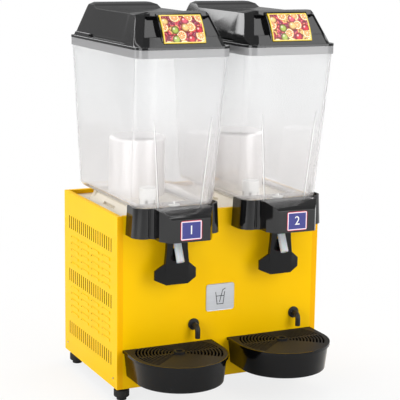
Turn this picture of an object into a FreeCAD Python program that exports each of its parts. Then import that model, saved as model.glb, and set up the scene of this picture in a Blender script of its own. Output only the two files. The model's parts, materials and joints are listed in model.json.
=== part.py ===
import FreeCAD, Part
import Sketcher
import math
import os

# A countertop dispenser that keeps two tanks of juice cold. All sizes are millimetres.
# Each piece is drawn in its own simple place: X 0 on the machine's middle or, for the pieces
# that come in pairs, on the tank's own middle, Y 0 on the front panel's face with -Y towards
# the person, Z 0 on the underside of the cabinet. Its Placement then takes it to the frame.

DRIVING_SIZES = [
    # Cabinet
    ("cabinet_width", 400),
    ("cabinet_depth", 268),
    ("cabinet_height", 313),
    ("panel_sheet", 1.5),
    ("return_width", 11),
    ("lip_width", 8),
    ("pan_sheet", 2),
    ("pan_rim", 20),
    ("post_leg", 18),
    ("post_sheet", 1.5),
    ("foot_height", 25),
    ("foot_radius", 14),
    ("foot_knob_height", 14),
    ("foot_tip_radius", 9),
    ("foot_tip_height", 6),
    ("foot_neck_radius", 5),
    ("foot_stem_radius", 4),
    ("foot_inset_side", 17),
    ("foot_inset_end", 20),
    ("foot_stem_above_pan", 8),
    # Side panel vents
    ("slot_width", 3.6),
    ("slot_height", 25),
    ("slot_pitch", 10.6),
    ("slot_count", 21),
    ("slot_first", 27),
    ("top_band", 244),
    ("middle_band", 142),
    ("bottom_band", 38),
    ("louvre_length", 38),
    ("louvre_height", 4.5),
    ("louvre_proud", 1.2),
    ("louvre_first", 34),
    ("louvre_column_pitch", 53),
    ("louvre_columns", 4),
    ("louvre_row_pitch", 12.6),
    ("louvre_rows", 5),
    ("upper_louvres", 177),
    ("lower_louvres", 80),
    # Screws
    ("screw_head_radius", 3.5),
    ("screw_head_height", 1.6),
    ("screw_shank_radius", 1.8),
    ("screw_from_edge", 17),
    # Back panel
    ("back_vent_width", 34),
    ("back_vent_height", 4),
    ("back_vent_pitch_x", 46),
    ("back_vent_pitch_z", 10),
    ("back_vent_columns", 5),
    ("back_vent_rows", 9),
    ("back_vent_left", -92),
    ("back_vent_bottom", 88),
    # Top plate and plinths
    ("plate_drop", 9),
    ("plate_thickness", 6),
    ("plate_clearance", 0.3),
    ("plinth_height", 17),
    ("plinth_half_width", 64),
    ("plinth_foot_half_width", 76),
    ("plinth_front", 10),
    ("plinth_back", 208),
    ("plinth_corner", 14),
    ("plinth_top", 4),
    ("locating_post_radius", 3.5),
    ("locating_post_x", 66),
    ("locating_post_y", 186),
    ("plinth_slot_front", 80),
    ("plinth_slot_length", 53),
    ("plinth_slot_low", 5),
    ("plinth_slot_height", 5),
    ("plinth_slot_reach", 10),
    # Tank
    ("tank_offset", 102.5),
    ("tank_height", 279),
    ("tank_top_width", 172),
    ("tank_bottom_width", 152),
    ("tank_top_front", 64),
    ("tank_bottom_front", 44),
    ("tank_top_back", 260),
    ("tank_bottom_back", 250),
    ("tank_top_corner", 18),
    ("tank_bottom_corner", 36),
    ("tank_top_back_corner", 9),
    ("tank_bottom_back_corner", 16),
    ("tank_wall", 3),
    ("tank_floor", 4),
    ("tank_bottom_round", 14),
    ("collar_height", 14),
    ("collar_step", 1.5),
    ("opening_half_width", 53),
    ("opening_margin", 2),
    ("opening_corner", 12),
    ("gasket_thickness", 3),
    ("gasket_lip", 8),
    ("gasket_clearance", 1),
    # Outlet, valve and spout
    ("outlet_y", -20),
    ("outlet_radius", 10),
    ("outlet_drop", 12),
    ("spout_radius", 7),
    ("spout_fit", 0.1),
    ("spout_wall", 1.8),
    ("spout_insert", 10),
    ("spout_elbow_drop", 24),
    ("spout_lean", 26),
    ("spout_length", 72),
    ("valve_head_radius", 10),
    ("valve_head_height", 3),
    ("valve_stem_radius", 2),
    ("valve_grip_height", 6),
    # Lever
    ("pivot_y", -34),
    ("pivot_drop", 24),
    ("pin_radius", 2.5),
    ("pin_clearance", 0.05),
    ("ear_thickness", 3),
    ("ear_width", 12),
    ("ear_below_pivot", 6),
    ("ear_clearance", 1),
    ("hub_radius", 6),
    ("rail_clearance", 1),
    ("rail_outer", 18),
    ("neck_thickness", 8),
    ("crossbar_front", -9),
    ("crossbar_back", -2),
    ("crossbar_height", 7),
    ("crossbar_below_pivot", 1),
    ("tongue_width", 4),
    ("tongue_height", 3.5),
    ("tongue_past_stem", 1.5),
    ("stem_clearance", 0.3),
    ("slot_bottom", 44),
    ("recess_bottom", 60),
    ("recess_web", 2.5),
    ("neck_half_width", 20),
    ("neck_low_half_width", 22.5),
    ("neck_low", 69),
    ("paddle_half_width", 39.5),
    ("paddle_shoulder", 82.5),
    ("paddle_corner", 99),
    ("paddle_bottom", 107.5),
    ("paddle_flat_half_width", 20.5),
    ("paddle_bend", 8),
    ("paddle_thickness", 4),
    # Return spring
    ("spring_y", -5.5),
    ("spring_radius", 3.3),
    ("spring_bore", 2.3),
    ("spring_seat_gap", 0.3),
    # Tap cover
    ("cover_wall", 2.5),
    ("cover_clearance", 1),
    ("cover_height", 53),
    ("cover_overlap", 9),
    ("cover_flare", 3),
    ("cover_corner", 22),
    ("cover_back_gap", 0.4),
    ("block_face_half_width", 36),
    ("block_cheek_half_width", 41.9),
    ("block_half_width", 50),
    ("block_depth", 93),
    ("block_cheek_depth", 86),
    ("block_side_depth", 72),
    ("block_brow_depth", 86.4),
    ("block_top_depth", 70.5),
    ("block_bevel_height", 13.5),
    ("block_brow_height", 7),
    ("cove_radius", 6),
    ("groove_radius", 1.6),
    ("groove_x", 58),
    ("shelf_reach", 26),
    ("shelf_thickness", 4),
    ("shelf_front", -10),
    ("shelf_back", -1),
    ("tab_gap", 0.6),
    ("tab_height", 13),
    ("tab_width", 4),
    ("tab_y", -7),
    ("label_width", 40),
    ("label_height", 34),
    ("label_thickness", 0.8),
    ("label_corner", 4),
    ("label_below_bevel", 2),
    # Lid
    ("rim_overhang", 0.5),
    ("rim_height", 4),
    ("lid_side_inset", 3),
    ("lid_height", 51),
    ("lid_top_half_width", 67.5),
    ("lid_top_front", 30),
    ("lid_top_back", 238),
    ("lid_low_cut_x", 19),
    ("lid_top_cut_x", 15.5),
    ("lid_cut_y", 25),
    ("lid_low_bend_x", 9),
    ("lid_top_bend_x", 7.3),
    ("lid_bend_y", 5),
    ("lid_low_back_cut", 12),
    ("lid_top_back_cut", 8),
    ("brow_height", 6),
    ("brow_crest_half_width", 54.5),
    ("brow_crest_back", -10),
    ("brow_crest_inset", 1),
    ("brow_crest_cut", 2.5),
    ("brow_back", 45),
    ("ridge_front", 188),
    ("ridge_shoulder_front", 200),
    ("ridge_shoulder_back", 235),
    ("ridge_shoulder_half_width", 63),
    ("ridge_shoulder_height", 6),
    ("ridge_shoulder_cut", 6),
    ("ridge_crest_front", 210),
    ("ridge_crest_back", 231),
    ("ridge_crest_half_width", 52),
    ("ridge_crest_cut", 2),
    ("ridge_height", 10),
    ("lid_shell", 6),
    ("skirt_wall", 2),
    ("skirt_clearance", 1),
    ("skirt_height", 14),
    ("recess_depth", 3),
    ("recess_bevel_front", 15),
    ("recess_front", 36),
    ("pocket_depth", 7.5),
    ("pocket_low", 16),
    ("pocket_roof", 2),
    ("pocket_side_wall", 1.5),
    ("finger_gap_front", 3),
    ("finger_gap_back", 174),
    ("finger_gap_low", 2),
    ("finger_gap_height", 4.5),
    ("finger_gap_depth", 5),
    ("front_bow_radius", 110),
    ("front_bow_y", 47.5),
    ("front_bow_drop", 23),
    ("boss_half_width", 41.5),
    ("boss_height", 54),
    ("picture_half_width", 38.5),
    ("picture_thickness", 2),
    ("picture_low", 6),
    ("picture_high", 52),
    # Evaporator, pump and cooling
    ("evaporator_radius", 50),
    ("evaporator_height", 110),
    ("evaporator_wall", 1.5),
    ("evaporator_round", 8),
    ("evaporator_y", 145),
    ("coil_radius", 44),
    ("coil_wall", 6),
    ("coil_foot", 4),
    ("coil_height", 93),
    ("coil_leg_radius", 3),
    ("coil_leg_spacing", 40),
    ("coil_leg_end", 280),
    ("leg_clearance", 0.5),
    ("housing_x", -25),
    ("housing_y", 38),
    ("housing_radius", 16),
    ("housing_height", 32),
    ("housing_wall", 2),
    ("housing_slot_width", 5),
    ("housing_slot_height", 12),
    ("housing_slots", 6),
    ("impeller_radius", 11),
    ("impeller_disc", 4),
    ("impeller_blade_height", 10),
    ("impeller_blade_thickness", 1.6),
    ("impeller_blades", 4),
    ("impeller_lift", 1),
    ("spindle_radius", 2),
    ("spindle_height", 23),
    ("shaft_clearance", 0.05),
    ("magnet_radius", 18),
    ("magnet_height", 10),
    ("magnet_gap", 2),
    ("magnet_well_radius", 24),
    ("motor_radius", 22),
    ("motor_height", 42),
    ("motor_flange", 56),
    ("motor_flange_thickness", 3),
    ("motor_shaft_radius", 2.5),
    # Drip tray, grid, bracket
    ("tray_width", 174),
    ("tray_straight", 50),
    ("tray_bottom", 24),
    ("tray_height", 48),
    ("tray_rim_height", 5),
    ("tray_rim_step", 3),
    ("tray_draft", 5),
    ("tray_wall", 2.5),
    ("grid_thickness", 3.5),
    ("grid_clearance", 0.4),
    ("grid_rim", 2.2),
    ("grid_slots", 11),
    ("grid_slot_width", 3.4),
    ("grid_slot_pitch", 6),
    ("grid_first_slot", 14),
    ("grid_border", 4),
    ("grid_spoke", 4),
    ("grid_front_sector", 50),
    ("hub_ring_radius", 10.5),
    ("hub_hole_radius", 6),
    ("hub_ring_height", 3.5),
    ("bracket_spacing", 60),
    ("bracket_width", 12),
    ("bracket_thickness", 3),
    ("bracket_length", 24),
    ("bracket_z", 40),
    ("bracket_clearance", 0.4),
    ("sleeve_wall", 2),
    # Drain
    ("drain_x", 50),
    ("drain_z", 105),
    ("drain_flange_radius", 10.5),
    ("drain_flange_thickness", 3),
    ("drain_tube_radius", 4.75),
    ("drain_bore", 3),
    ("drain_bend", 9),
    ("drain_reach", 19),
    ("drain_drop", 22),
    ("drain_spigot", 14),
    ("hose_radius", 6),
    ("hose_y", 30),
    ("hose_bend", 14),
    # Badge
    ("badge_width", 56),
    ("badge_height", 50),
    ("badge_thickness", 1.5),
    ("badge_corner", 5),
    ("badge_z", 150),
    # Controls on the back
    ("knob_reach", 14),
    ("knob_radius", 15),
    ("knob_gap", 0.3),
    ("knob_shaft_radius", 3),
    ("knob_spacing", 240),
    ("knob_skirt_height", 3),
    ("knob_skirt_radius", 18),
    ("controls_z", 255),
    ("control_box_width", 320),
    ("control_box_depth", 34),
    ("control_box_height", 60),
    ("control_box_wall", 1.5),
    ("switch_spacing", 50),
    ("switch_frame_width", 22),
    ("switch_frame_height", 32),
    ("switch_frame_thickness", 1.6),
    ("switch_body_width", 18),
    ("switch_body_height", 27),
    ("switch_body_depth", 16),
    ("switch_hole_clearance", 0.2),
    ("rocker_width", 14),
    ("rocker_height", 20),
    ("rocker_depth", 9),
    ("rocker_proud", 3),
    ("rocker_tilt", 10),
    ("rocker_clearance", 0.4),
    ("inlet_x", -140),
    ("inlet_z", 50),
    ("inlet_width", 32),
    ("inlet_height", 26),
    ("inlet_depth", 22),
    ("inlet_flange", 4),
    ("inlet_flange_thickness", 2),
    ("inlet_wall", 3),
    ("inlet_pin_width", 4),
    ("inlet_pin_height", 2),
    ("inlet_pin_length", 15),
    ("inlet_pin_spacing", 7),
    # Cooling machinery
    ("compressor_x", -95),
    ("compressor_y", 150),
    ("compressor_radius", 58),
    ("compressor_bottom", 14),
    ("compressor_height", 130),
    ("compressor_round", 25),
    ("compressor_plate_width", 150),
    ("compressor_plate_depth", 80),
    ("compressor_plate_thickness", 3),
    ("grommet_radius", 8),
    ("grommet_inset", 10),
    ("condenser_x", 135),
    ("condenser_thickness", 40),
    ("condenser_front", 45),
    ("condenser_length", 170),
    ("condenser_height", 160),
    ("condenser_end", 2),
    ("fin_count", 24),
    ("fin_sheet", 0.8),
    ("condenser_tube_radius", 4),
    ("condenser_tubes", 6),
    ("fan_radius", 70),
    ("fan_hub_radius", 16),
    ("fan_thickness", 14),
    ("fan_gap", 8),
    ("fan_blades", 5),
    ("fan_blade_sheet", 1.5),
    ("fan_blade_width", 42),
    ("fan_blade_pitch", 28),
    ("fan_shaft_radius", 3),
    ("fan_motor_radius", 28),
    ("fan_motor_length", 42),
    ("fan_bracket_width", 66),
    ("fan_bracket_sheet", 3),
    ("fan_bracket_foot", 30),
    ("pipe_radius", 3),
    ("pipe_bend", 16),
    ("pipe_level", 200),
    ("pipe_spread", 20),
    ("link_drop", 32),
    ("link_reach", 35),
    ("drier_radius", 10),
    ("drier_length", 50),
]


class Size:
    """A length that knows its number and the spreadsheet formula it comes from."""

    def __init__(self, formula, number):
        self.formula = formula
        self.number = float(number)

    def __float__(self):
        return self.number

    def join(self, sign, other, result, swapped=False):
        text = formula_of(other)
        first, second = (text, self.formula) if swapped else (self.formula, text)
        return Size(f"({first} {sign} {second})", result)

    def __add__(self, other):
        return self.join("+", other, self.number + float(other))

    def __radd__(self, other):
        return self.join("+", other, float(other) + self.number, swapped=True)

    def __sub__(self, other):
        return self.join("-", other, self.number - float(other))

    def __rsub__(self, other):
        return self.join("-", other, float(other) - self.number, swapped=True)

    def __mul__(self, other):
        return self.join("*", other, self.number * float(other))

    def __rmul__(self, other):
        return self.join("*", other, float(other) * self.number, swapped=True)

    def __truediv__(self, other):
        return self.join("/", other, self.number / float(other))

    def __neg__(self):
        return Size(f"(0 - {self.formula})", -self.number)


def formula_of(value):
    if isinstance(value, Size):
        return value.formula
    return str(value) if value >= 0 else f"(0 - {abs(value)})"


class Sheet:
    """The driving sizes by name, each as a Size bound to its cell."""


doc = FreeCAD.newDocument("Dispenser")
cells = doc.addObject("Spreadsheet::Sheet", "Sizes")
s = Sheet()
for row, (alias, number) in enumerate(DRIVING_SIZES, start=1):
    cells.set(f"A{row}", alias)
    cells.set(f"B{row}", str(number))
    cells.setAlias(f"B{row}", alias)
    setattr(s, alias, Size(f"Sizes.{alias}", number))
doc.recompute()

sub_parts = {}
removals = []


# Helpers for solids made of primitives


def bind(item, name, value):
    """Sets a number, or ties it to its cells."""
    if name.startswith("Placement.Base."):
        place = item.Placement
        base = place.Base
        setattr(base, name[-1], float(value))
        item.Placement = FreeCAD.Placement(base, place.Rotation)
    else:
        setattr(item, name, float(value))
    if isinstance(value, Size):
        item.setExpression(name, value.formula)


def seat(item, x, y, z):
    for axis, value in zip("xyz", (x, y, z)):
        bind(item, "Placement.Base." + axis, value)
    return item


def box(name, x, y, z):
    item = doc.addObject("Part::Box", name)
    for side, (low, high) in zip(("Length", "Width", "Height"), (x, y, z)):
        bind(item, side, high - low)
    return seat(item, x[0], y[0], z[0])


ALONG = {
    "x": FreeCAD.Rotation(FreeCAD.Vector(0, 1, 0), 90),
    "y": FreeCAD.Rotation(FreeCAD.Vector(1, 0, 0), -90),
    "z": FreeCAD.Rotation(),
}


def along(item, axis, centre, start):
    """Stands a round primitive on an axis: centre holds the other two coordinates in order."""
    item.Placement = FreeCAD.Placement(FreeCAD.Vector(), ALONG[axis])
    place = list(centre)
    place.insert("xyz".index(axis), start)
    return seat(item, *place)


def cylinder(name, radius, axis, centre, span):
    item = doc.addObject("Part::Cylinder", name)
    bind(item, "Radius", radius)
    bind(item, "Height", span[1] - span[0])
    return along(item, axis, centre, span[0])


def cone(name, radii, axis, centre, span):
    item = doc.addObject("Part::Cone", name)
    bind(item, "Radius1", radii[0])
    bind(item, "Radius2", radii[1])
    bind(item, "Height", span[1] - span[0])
    return along(item, axis, centre, span[0])


def sphere(name, radius, x, y, z):
    item = doc.addObject("Part::Sphere", name)
    bind(item, "Radius", radius)
    return seat(item, x, y, z)


def fuse(name, *items):
    item = doc.addObject("Part::MultiFuse", name)
    item.Shapes = list(items)
    item.Refine = True
    return item


def group(name, *items):
    item = doc.addObject("Part::Compound", name)
    item.Links = list(items)
    return item


def cut(name, base, *tools):
    item = doc.addObject("Part::Cut", name)
    item.Base = base
    item.Tool = tools[0] if len(tools) == 1 else fuse(name + "_tools", *tools)
    item.Refine = True
    removals.append((base, item))
    return item


def common(name, first, second):
    item = doc.addObject("Part::Common", name)
    item.Base = first
    item.Tool = second
    return item


def copy_at(name, source, x=0, y=0, z=0, turn=0, about=FreeCAD.Vector(0, 0, 1)):
    """A moved twin of a solid, tied to it."""
    item = doc.addObject("Part::Compound", name)
    item.Links = [source]
    item.Placement = FreeCAD.Placement(FreeCAD.Vector(), FreeCAD.Rotation(about, turn))
    return seat(item, x, y, z)


def round_edges(name, base, chooser, radius):
    doc.recompute()
    item = doc.addObject("Part::Fillet", name)
    item.Base = base
    chosen = [
        (number, float(radius), float(radius))
        for number, edge in enumerate(base.Shape.Edges, start=1)
        if chooser(edge)
    ]
    item.Edges = chosen
    return item


def level_edge(height):
    """Picks the edges that lie flat at one height."""
    def chooser(edge):
        bounds = edge.BoundBox
        return abs(bounds.ZMin - float(height)) < 0.01 and bounds.ZLength < 0.01
    return chooser


# Helpers for sketches


def fix_point(sketch, line, end, x, y):
    for kind, value in (("DistanceX", x), ("DistanceY", y)):
        number = sketch.addConstraint(Sketcher.Constraint(kind, -1, 1, line, end, float(value)))
        if isinstance(value, Size):
            sketch.setExpression(f"Constraints[{number}]", value.formula)


def draw_polygon(sketch, points):
    count = len(points)
    first = sketch.GeometryCount
    for index, start in enumerate(points):
        end = points[(index + 1) % count]
        sketch.addGeometry(Part.LineSegment(
            FreeCAD.Vector(float(start[0]), float(start[1]), 0),
            FreeCAD.Vector(float(end[0]), float(end[1]), 0)), False)
    for index, point in enumerate(points):
        following = (index + 1) % count
        sketch.addConstraint(
            Sketcher.Constraint("Coincident", first + index, 2, first + following, 1))
        fix_point(sketch, first + index, 1, *point)


def draw_rounded(sketch, x, y, radii):
    """A rectangle with its own radius at each corner: front left, front right, back right,
    back left. None leaves a corner sharp."""
    (left, right), (front, back) = x, y
    corners = ((left, front, 1, 1), (right, front, -1, 1), (right, back, -1, -1), (left, back, 1, -1))
    first = sketch.GeometryCount
    ends = []
    for (cx, cy, sx, sy), radius in zip(corners, radii):
        if radius is None:
            ends.append(((cx, cy), (cx, cy)))
        elif sx == sy:
            ends.append(((cx, cy + sy * radius), (cx + sx * radius, cy)))
        else:
            ends.append(((cx + sx * radius, cy), (cx, cy + sy * radius)))
    for index in range(4):
        start, end = ends[index][1], ends[(index + 1) % 4][0]
        sketch.addGeometry(Part.LineSegment(
            FreeCAD.Vector(float(start[0]), float(start[1]), 0),
            FreeCAD.Vector(float(end[0]), float(end[1]), 0)), False)
        fix_point(sketch, first + index, 1, *start)
        fix_point(sketch, first + index, 2, *end)
    for index, radius in enumerate(radii):
        if radius is None:
            continue
        cx, cy, sx, sy = corners[index]
        centre = FreeCAD.Vector(float(cx) + sx * float(radius), float(cy) + sy * float(radius), 0)
        start_angle = math.pi + index * math.pi / 2
        circle = Part.Circle(centre, FreeCAD.Vector(0, 0, 1), float(radius))
        arc = sketch.GeometryCount
        sketch.addGeometry(Part.ArcOfCircle(circle, start_angle, start_angle + math.pi / 2), False)
        before = first + (index - 1) % 4
        sketch.addConstraint(Sketcher.Constraint("Coincident", before, 2, arc, 1))
        sketch.addConstraint(Sketcher.Constraint("Coincident", arc, 2, first + index, 1))
        number = sketch.addConstraint(Sketcher.Constraint("Radius", arc, float(radius)))
        if isinstance(radius, Size):
            sketch.setExpression(f"Constraints[{number}]", radius.formula)


def draw_circle(sketch, x, y, radius):
    index = sketch.GeometryCount
    centre = FreeCAD.Vector(float(x), float(y), 0)
    sketch.addGeometry(Part.Circle(centre, FreeCAD.Vector(0, 0, 1), float(radius)), False)
    fix_point(sketch, index, 3, x, y)
    number = sketch.addConstraint(Sketcher.Constraint("Radius", index, float(radius)))
    if isinstance(radius, Size):
        sketch.setExpression(f"Constraints[{number}]", radius.formula)


def level_sketch(name, height):
    """A free sketch that lies flat at one height."""
    sketch = doc.addObject("Sketcher::SketchObject", name)
    return seat(sketch, 0, 0, height)


def loft(name, *sketches):
    item = doc.addObject("Part::Loft", name)
    item.Sections = list(sketches)
    item.Solid = True
    item.Ruled = True
    return item


def rounded_loft(name, *levels):
    """Walls between rounded rectangles: each level is (height, x, y, radii)."""
    sketches = []
    for number, (height, x, y, radii) in enumerate(levels):
        sketch = level_sketch(f"{name}_level_{number}", height)
        draw_rounded(sketch, x, y, radii)
        sketches.append(sketch)
    return loft(name, *sketches)


def polygon_loft(name, *levels):
    """Walls between polygons with as many corners: each level is (height, points)."""
    sketches = []
    for number, (height, points) in enumerate(levels):
        sketch = level_sketch(f"{name}_level_{number}", height)
        draw_polygon(sketch, points)
        sketches.append(sketch)
    return loft(name, *sketches)


def mirrored(points):
    """Completes an outline given for X above 0 with its mirror image."""
    return list(points) + [(-x, y) for x, y in reversed(points)]


# Helpers for bodies with features


def new_body(node):
    body = doc.addObject("PartDesign::Body", node + "_body")
    return body


def origin_feature(body, role):
    return next(item for item in body.Origin.OriginFeatures if item.Role == role)


def body_sketch(body, name, plane, offset=0):
    sketch = body.newObject("Sketcher::SketchObject", name)
    sketch.AttachmentSupport = [(origin_feature(body, plane + "_Plane"), "")]
    sketch.MapMode = "FlatFace"
    shift = -offset if plane == "XZ" else offset
    sketch.AttachmentOffset = FreeCAD.Placement(
        FreeCAD.Vector(0, 0, float(shift)), FreeCAD.Rotation())
    if isinstance(shift, Size):
        sketch.setExpression("AttachmentOffset.Base.z", shift.formula)
    return sketch


def pad(body, sketch, length, backwards=False):
    item = body.newObject("PartDesign::Pad", sketch.Name + "_pad")
    item.Profile = sketch
    item.Reversed = backwards
    bind(item, "Length", length)
    return item


def pocket(body, sketch, depth, backwards=False):
    before = body.Tip
    item = body.newObject("PartDesign::Pocket", sketch.Name + "_pocket")
    item.Profile = sketch
    item.Reversed = backwards
    bind(item, "Length", depth)
    removals.append((before, item))
    return item


def pattern(body, feature, directions):
    """Repeats a feature in rows: each direction is (axis, pitch, count)."""
    item = body.newObject("PartDesign::LinearPattern", feature.Name + "_rows")
    item.Originals = [feature]
    for suffix, (axis, pitch, count) in zip(("", "2"), directions):
        setattr(item, "Direction" + suffix, (origin_feature(body, axis + "_Axis"), [""]))
        bind(item, "Length" + suffix, pitch * (count - 1))
        setattr(item, "Occurrences" + suffix, int(float(count)))
        item.setExpression("Occurrences" + suffix, count.formula)
    body.Tip = item
    return item


# Where everything stands

front_face = (
    s.tray_width / 2 + s.tray_straight - s.cabinet_depth - s.knob_gap - s.knob_reach
) / 2
half_width = s.cabinet_width / 2
plate_top = s.cabinet_height - s.plate_drop
plinth_level = plate_top + s.plinth_height
tank_base = plinth_level + s.gasket_thickness
tank_inside = tank_base + s.tank_floor
tank_rim = tank_base + s.tank_height
pivot_z = tank_base - s.pivot_drop
panel_inside = half_width - s.panel_sheet
SIDES = (("left", -1), ("right", 1))


def finish(node, item, x=0, y=None, z=None):
    """Names a sub-part and takes it to its place in the machine's frame."""
    item.Label = node
    seat(item, x, front_face if y is None else y, s.foot_height if z is None else z)
    sub_parts[node] = item
    return item


def sided(sign, value):
    return -value if sign < 0 else value


# Base pan, posts and feet


def foot_places():
    x = half_width - s.foot_inset_side
    for sign_x in (-1, 1):
        for y in (s.foot_inset_end, s.cabinet_depth - s.foot_inset_end):
            yield sided(sign_x, x), y


def make_base_pan():
    outer = box("pan_outer", (-panel_inside, panel_inside),
                (s.panel_sheet, s.cabinet_depth - s.panel_sheet), (0, s.pan_rim))
    inner = box("pan_inner", (s.pan_sheet - panel_inside, panel_inside - s.pan_sheet),
                (s.panel_sheet + s.pan_sheet, s.cabinet_depth - s.panel_sheet - s.pan_sheet),
                (s.pan_sheet, s.pan_rim + 1))
    holes = [
        cylinder(f"pan_hole_{number}", s.foot_stem_radius + s.shaft_clearance, "z", place,
                 (-1, s.pan_sheet + 1))
        for number, place in enumerate(foot_places())
    ]
    finish("base_pan", cut("pan", outer, inner, *holes))


def make_feet():
    feet = []
    for number, place in enumerate(foot_places()):
        knob_top = -(s.foot_height - s.foot_tip_height - s.foot_knob_height)
        knob_low = knob_top - s.foot_knob_height
        knob = round_edges(
            f"foot_knob_{number}",
            cylinder(f"foot_knob_core_{number}", s.foot_radius, "z", place, (knob_low, knob_top)),
            lambda edge: edge.Curve.TypeId == "Part::GeomCircle", s.foot_radius / 6)
        tip = cylinder(f"foot_tip_{number}", s.foot_tip_radius, "z", place, (-s.foot_height, knob_low))
        neck = cylinder(f"foot_neck_{number}", s.foot_neck_radius, "z", place, (knob_top, 0))
        stem = cylinder(f"foot_stem_{number}", s.foot_stem_radius, "z", place,
                        (knob_top, s.pan_sheet + s.foot_stem_above_pan))
        feet.append(fuse(f"foot_{number}", knob, tip, neck, stem))
    finish("levelling_feet", group("feet_group", *feet))


def make_corner_posts():
    posts = []
    for sign in (-1, 1):
        for end in ("front", "back"):
            side = panel_inside - s.pan_sheet
            x = (side - s.post_leg, side)
            x = x if sign > 0 else (-x[1], -x[0])
            near = s.panel_sheet + s.pan_sheet
            y = (near, near + s.post_leg)
            if end == "back":
                y = (s.cabinet_depth - y[1], s.cabinet_depth - y[0])
            name = f"post_{end}_{sign}"
            outer = box(name + "_outer", x, y, (s.pan_sheet, plate_top - s.plate_thickness))
            inner_x = (x[0] - 1, x[1] - s.post_sheet) if sign > 0 else (x[0] + s.post_sheet, x[1] + 1)
            inner_y = (y[0] + s.post_sheet, y[1] + 1)
            if end == "back":
                inner_y = (y[0] - 1, y[1] - s.post_sheet)
            inner = box(name + "_inner", inner_x, inner_y, (0, s.cabinet_height))
            posts.append(cut(name, outer, inner))
    finish("corner_posts", group("posts_group", *posts))


# Sheet metal panels


def make_side_panel(side, sign):
    """A channel: the side, a return at the front and at the back, and a lip along the top.
    Three bands of slots and two fields of pressed louvres let the air through."""
    node = side + "_side_panel"
    body = new_body(node)
    channel = body_sketch(body, side + "_channel", "XY")
    outer, inner = sided(sign, half_width), sided(sign, panel_inside)
    edge = sided(sign, half_width - s.return_width)
    draw_polygon(channel, [
        (outer, 0), (outer, s.cabinet_depth), (edge, s.cabinet_depth),
        (edge, s.cabinet_depth - s.panel_sheet), (inner, s.cabinet_depth - s.panel_sheet),
        (inner, s.panel_sheet), (edge, s.panel_sheet), (edge, 0)])
    pad(body, channel, s.cabinet_height)
    lip = body_sketch(body, side + "_lip", "XY", s.cabinet_height - s.panel_sheet)
    lip_edge = sided(sign, half_width - s.lip_width)
    draw_polygon(lip, [(outer, 0), (outer, s.cabinet_depth), (lip_edge, s.cabinet_depth), (lip_edge, 0)])
    pad(body, lip, s.panel_sheet)
    def outwards(low, high):
        return (half_width + low, half_width + high) if sign > 0 else (-half_width - high, -half_width - low)

    through = outwards(-s.panel_sheet - 1, s.louvre_proud + 1)
    raised, openings = [], []
    rim, mouth = s.louvre_height / 5, s.louvre_height
    for field, level in (("upper", s.upper_louvres), ("lower", s.lower_louvres)):
        for column in range(int(float(s.louvre_columns))):
            for line in range(int(float(s.louvre_rows))):
                y = s.louvre_first + s.louvre_column_pitch * column
                z = level + s.louvre_row_pitch * line
                end = y + s.louvre_length
                name = f"{side}_{field}_{column}_{line}"
                raised.append(box(name + "_louvre", outwards(-s.panel_sheet / 2, s.louvre_proud),
                                  (y, end), (z, z + s.louvre_height)))
                openings.append(box(name + "_mouth", through, (end - mouth, end + mouth / 3),
                                    (z + rim, z + s.louvre_height - rim)))
    for band, level in (("top", s.top_band), ("middle", s.middle_band), ("bottom", s.bottom_band)):
        for number in range(int(float(s.slot_count))):
            y = s.slot_first + s.slot_pitch * number
            openings.append(box(f"{side}_{band}_slot_{number}", through,
                                (y, y + s.slot_width), (level, level + s.slot_height)))
    for end, y in (("front", s.screw_from_edge), ("back", s.cabinet_depth - s.screw_from_edge)):
        openings.append(cylinder(f"{side}_{end}_screw_hole", s.screw_shank_radius + s.shaft_clearance,
                                 "x", (y, s.screw_from_edge), through))
    pressed = fuse(side + "_pressed_panel", body, *raised)
    finish(node, cut(side + "_vented_panel", pressed, group(side + "_openings", *openings)))


def make_front_panel():
    body = new_body("front_panel")
    edge = half_width - s.return_width
    sheet = body_sketch(body, "front_sheet", "XY")
    draw_polygon(sheet, [(-edge, 0), (edge, 0), (edge, s.panel_sheet), (-edge, s.panel_sheet)])
    pad(body, sheet, s.cabinet_height)
    lip = body_sketch(body, "front_lip", "XY", s.cabinet_height - s.panel_sheet)
    lip_end = half_width - s.return_width
    draw_polygon(lip, [(-lip_end, 0), (lip_end, 0), (lip_end, s.lip_width), (-lip_end, s.lip_width)])
    pad(body, lip, s.panel_sheet)
    holes = body_sketch(body, "front_holes", "XZ", -1)
    for side, sign in SIDES:
        draw_circle(holes, sided(sign, s.tank_offset) + s.drain_x, s.drain_z,
                    s.drain_tube_radius + s.shaft_clearance)
    pocket(body, holes, s.panel_sheet + 2)
    finish("front_panel", body)


def switch_places():
    return (("power_switch", -s.switch_spacing), ("left_pump_switch", Size("0", 0)),
            ("right_pump_switch", s.switch_spacing))


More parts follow.
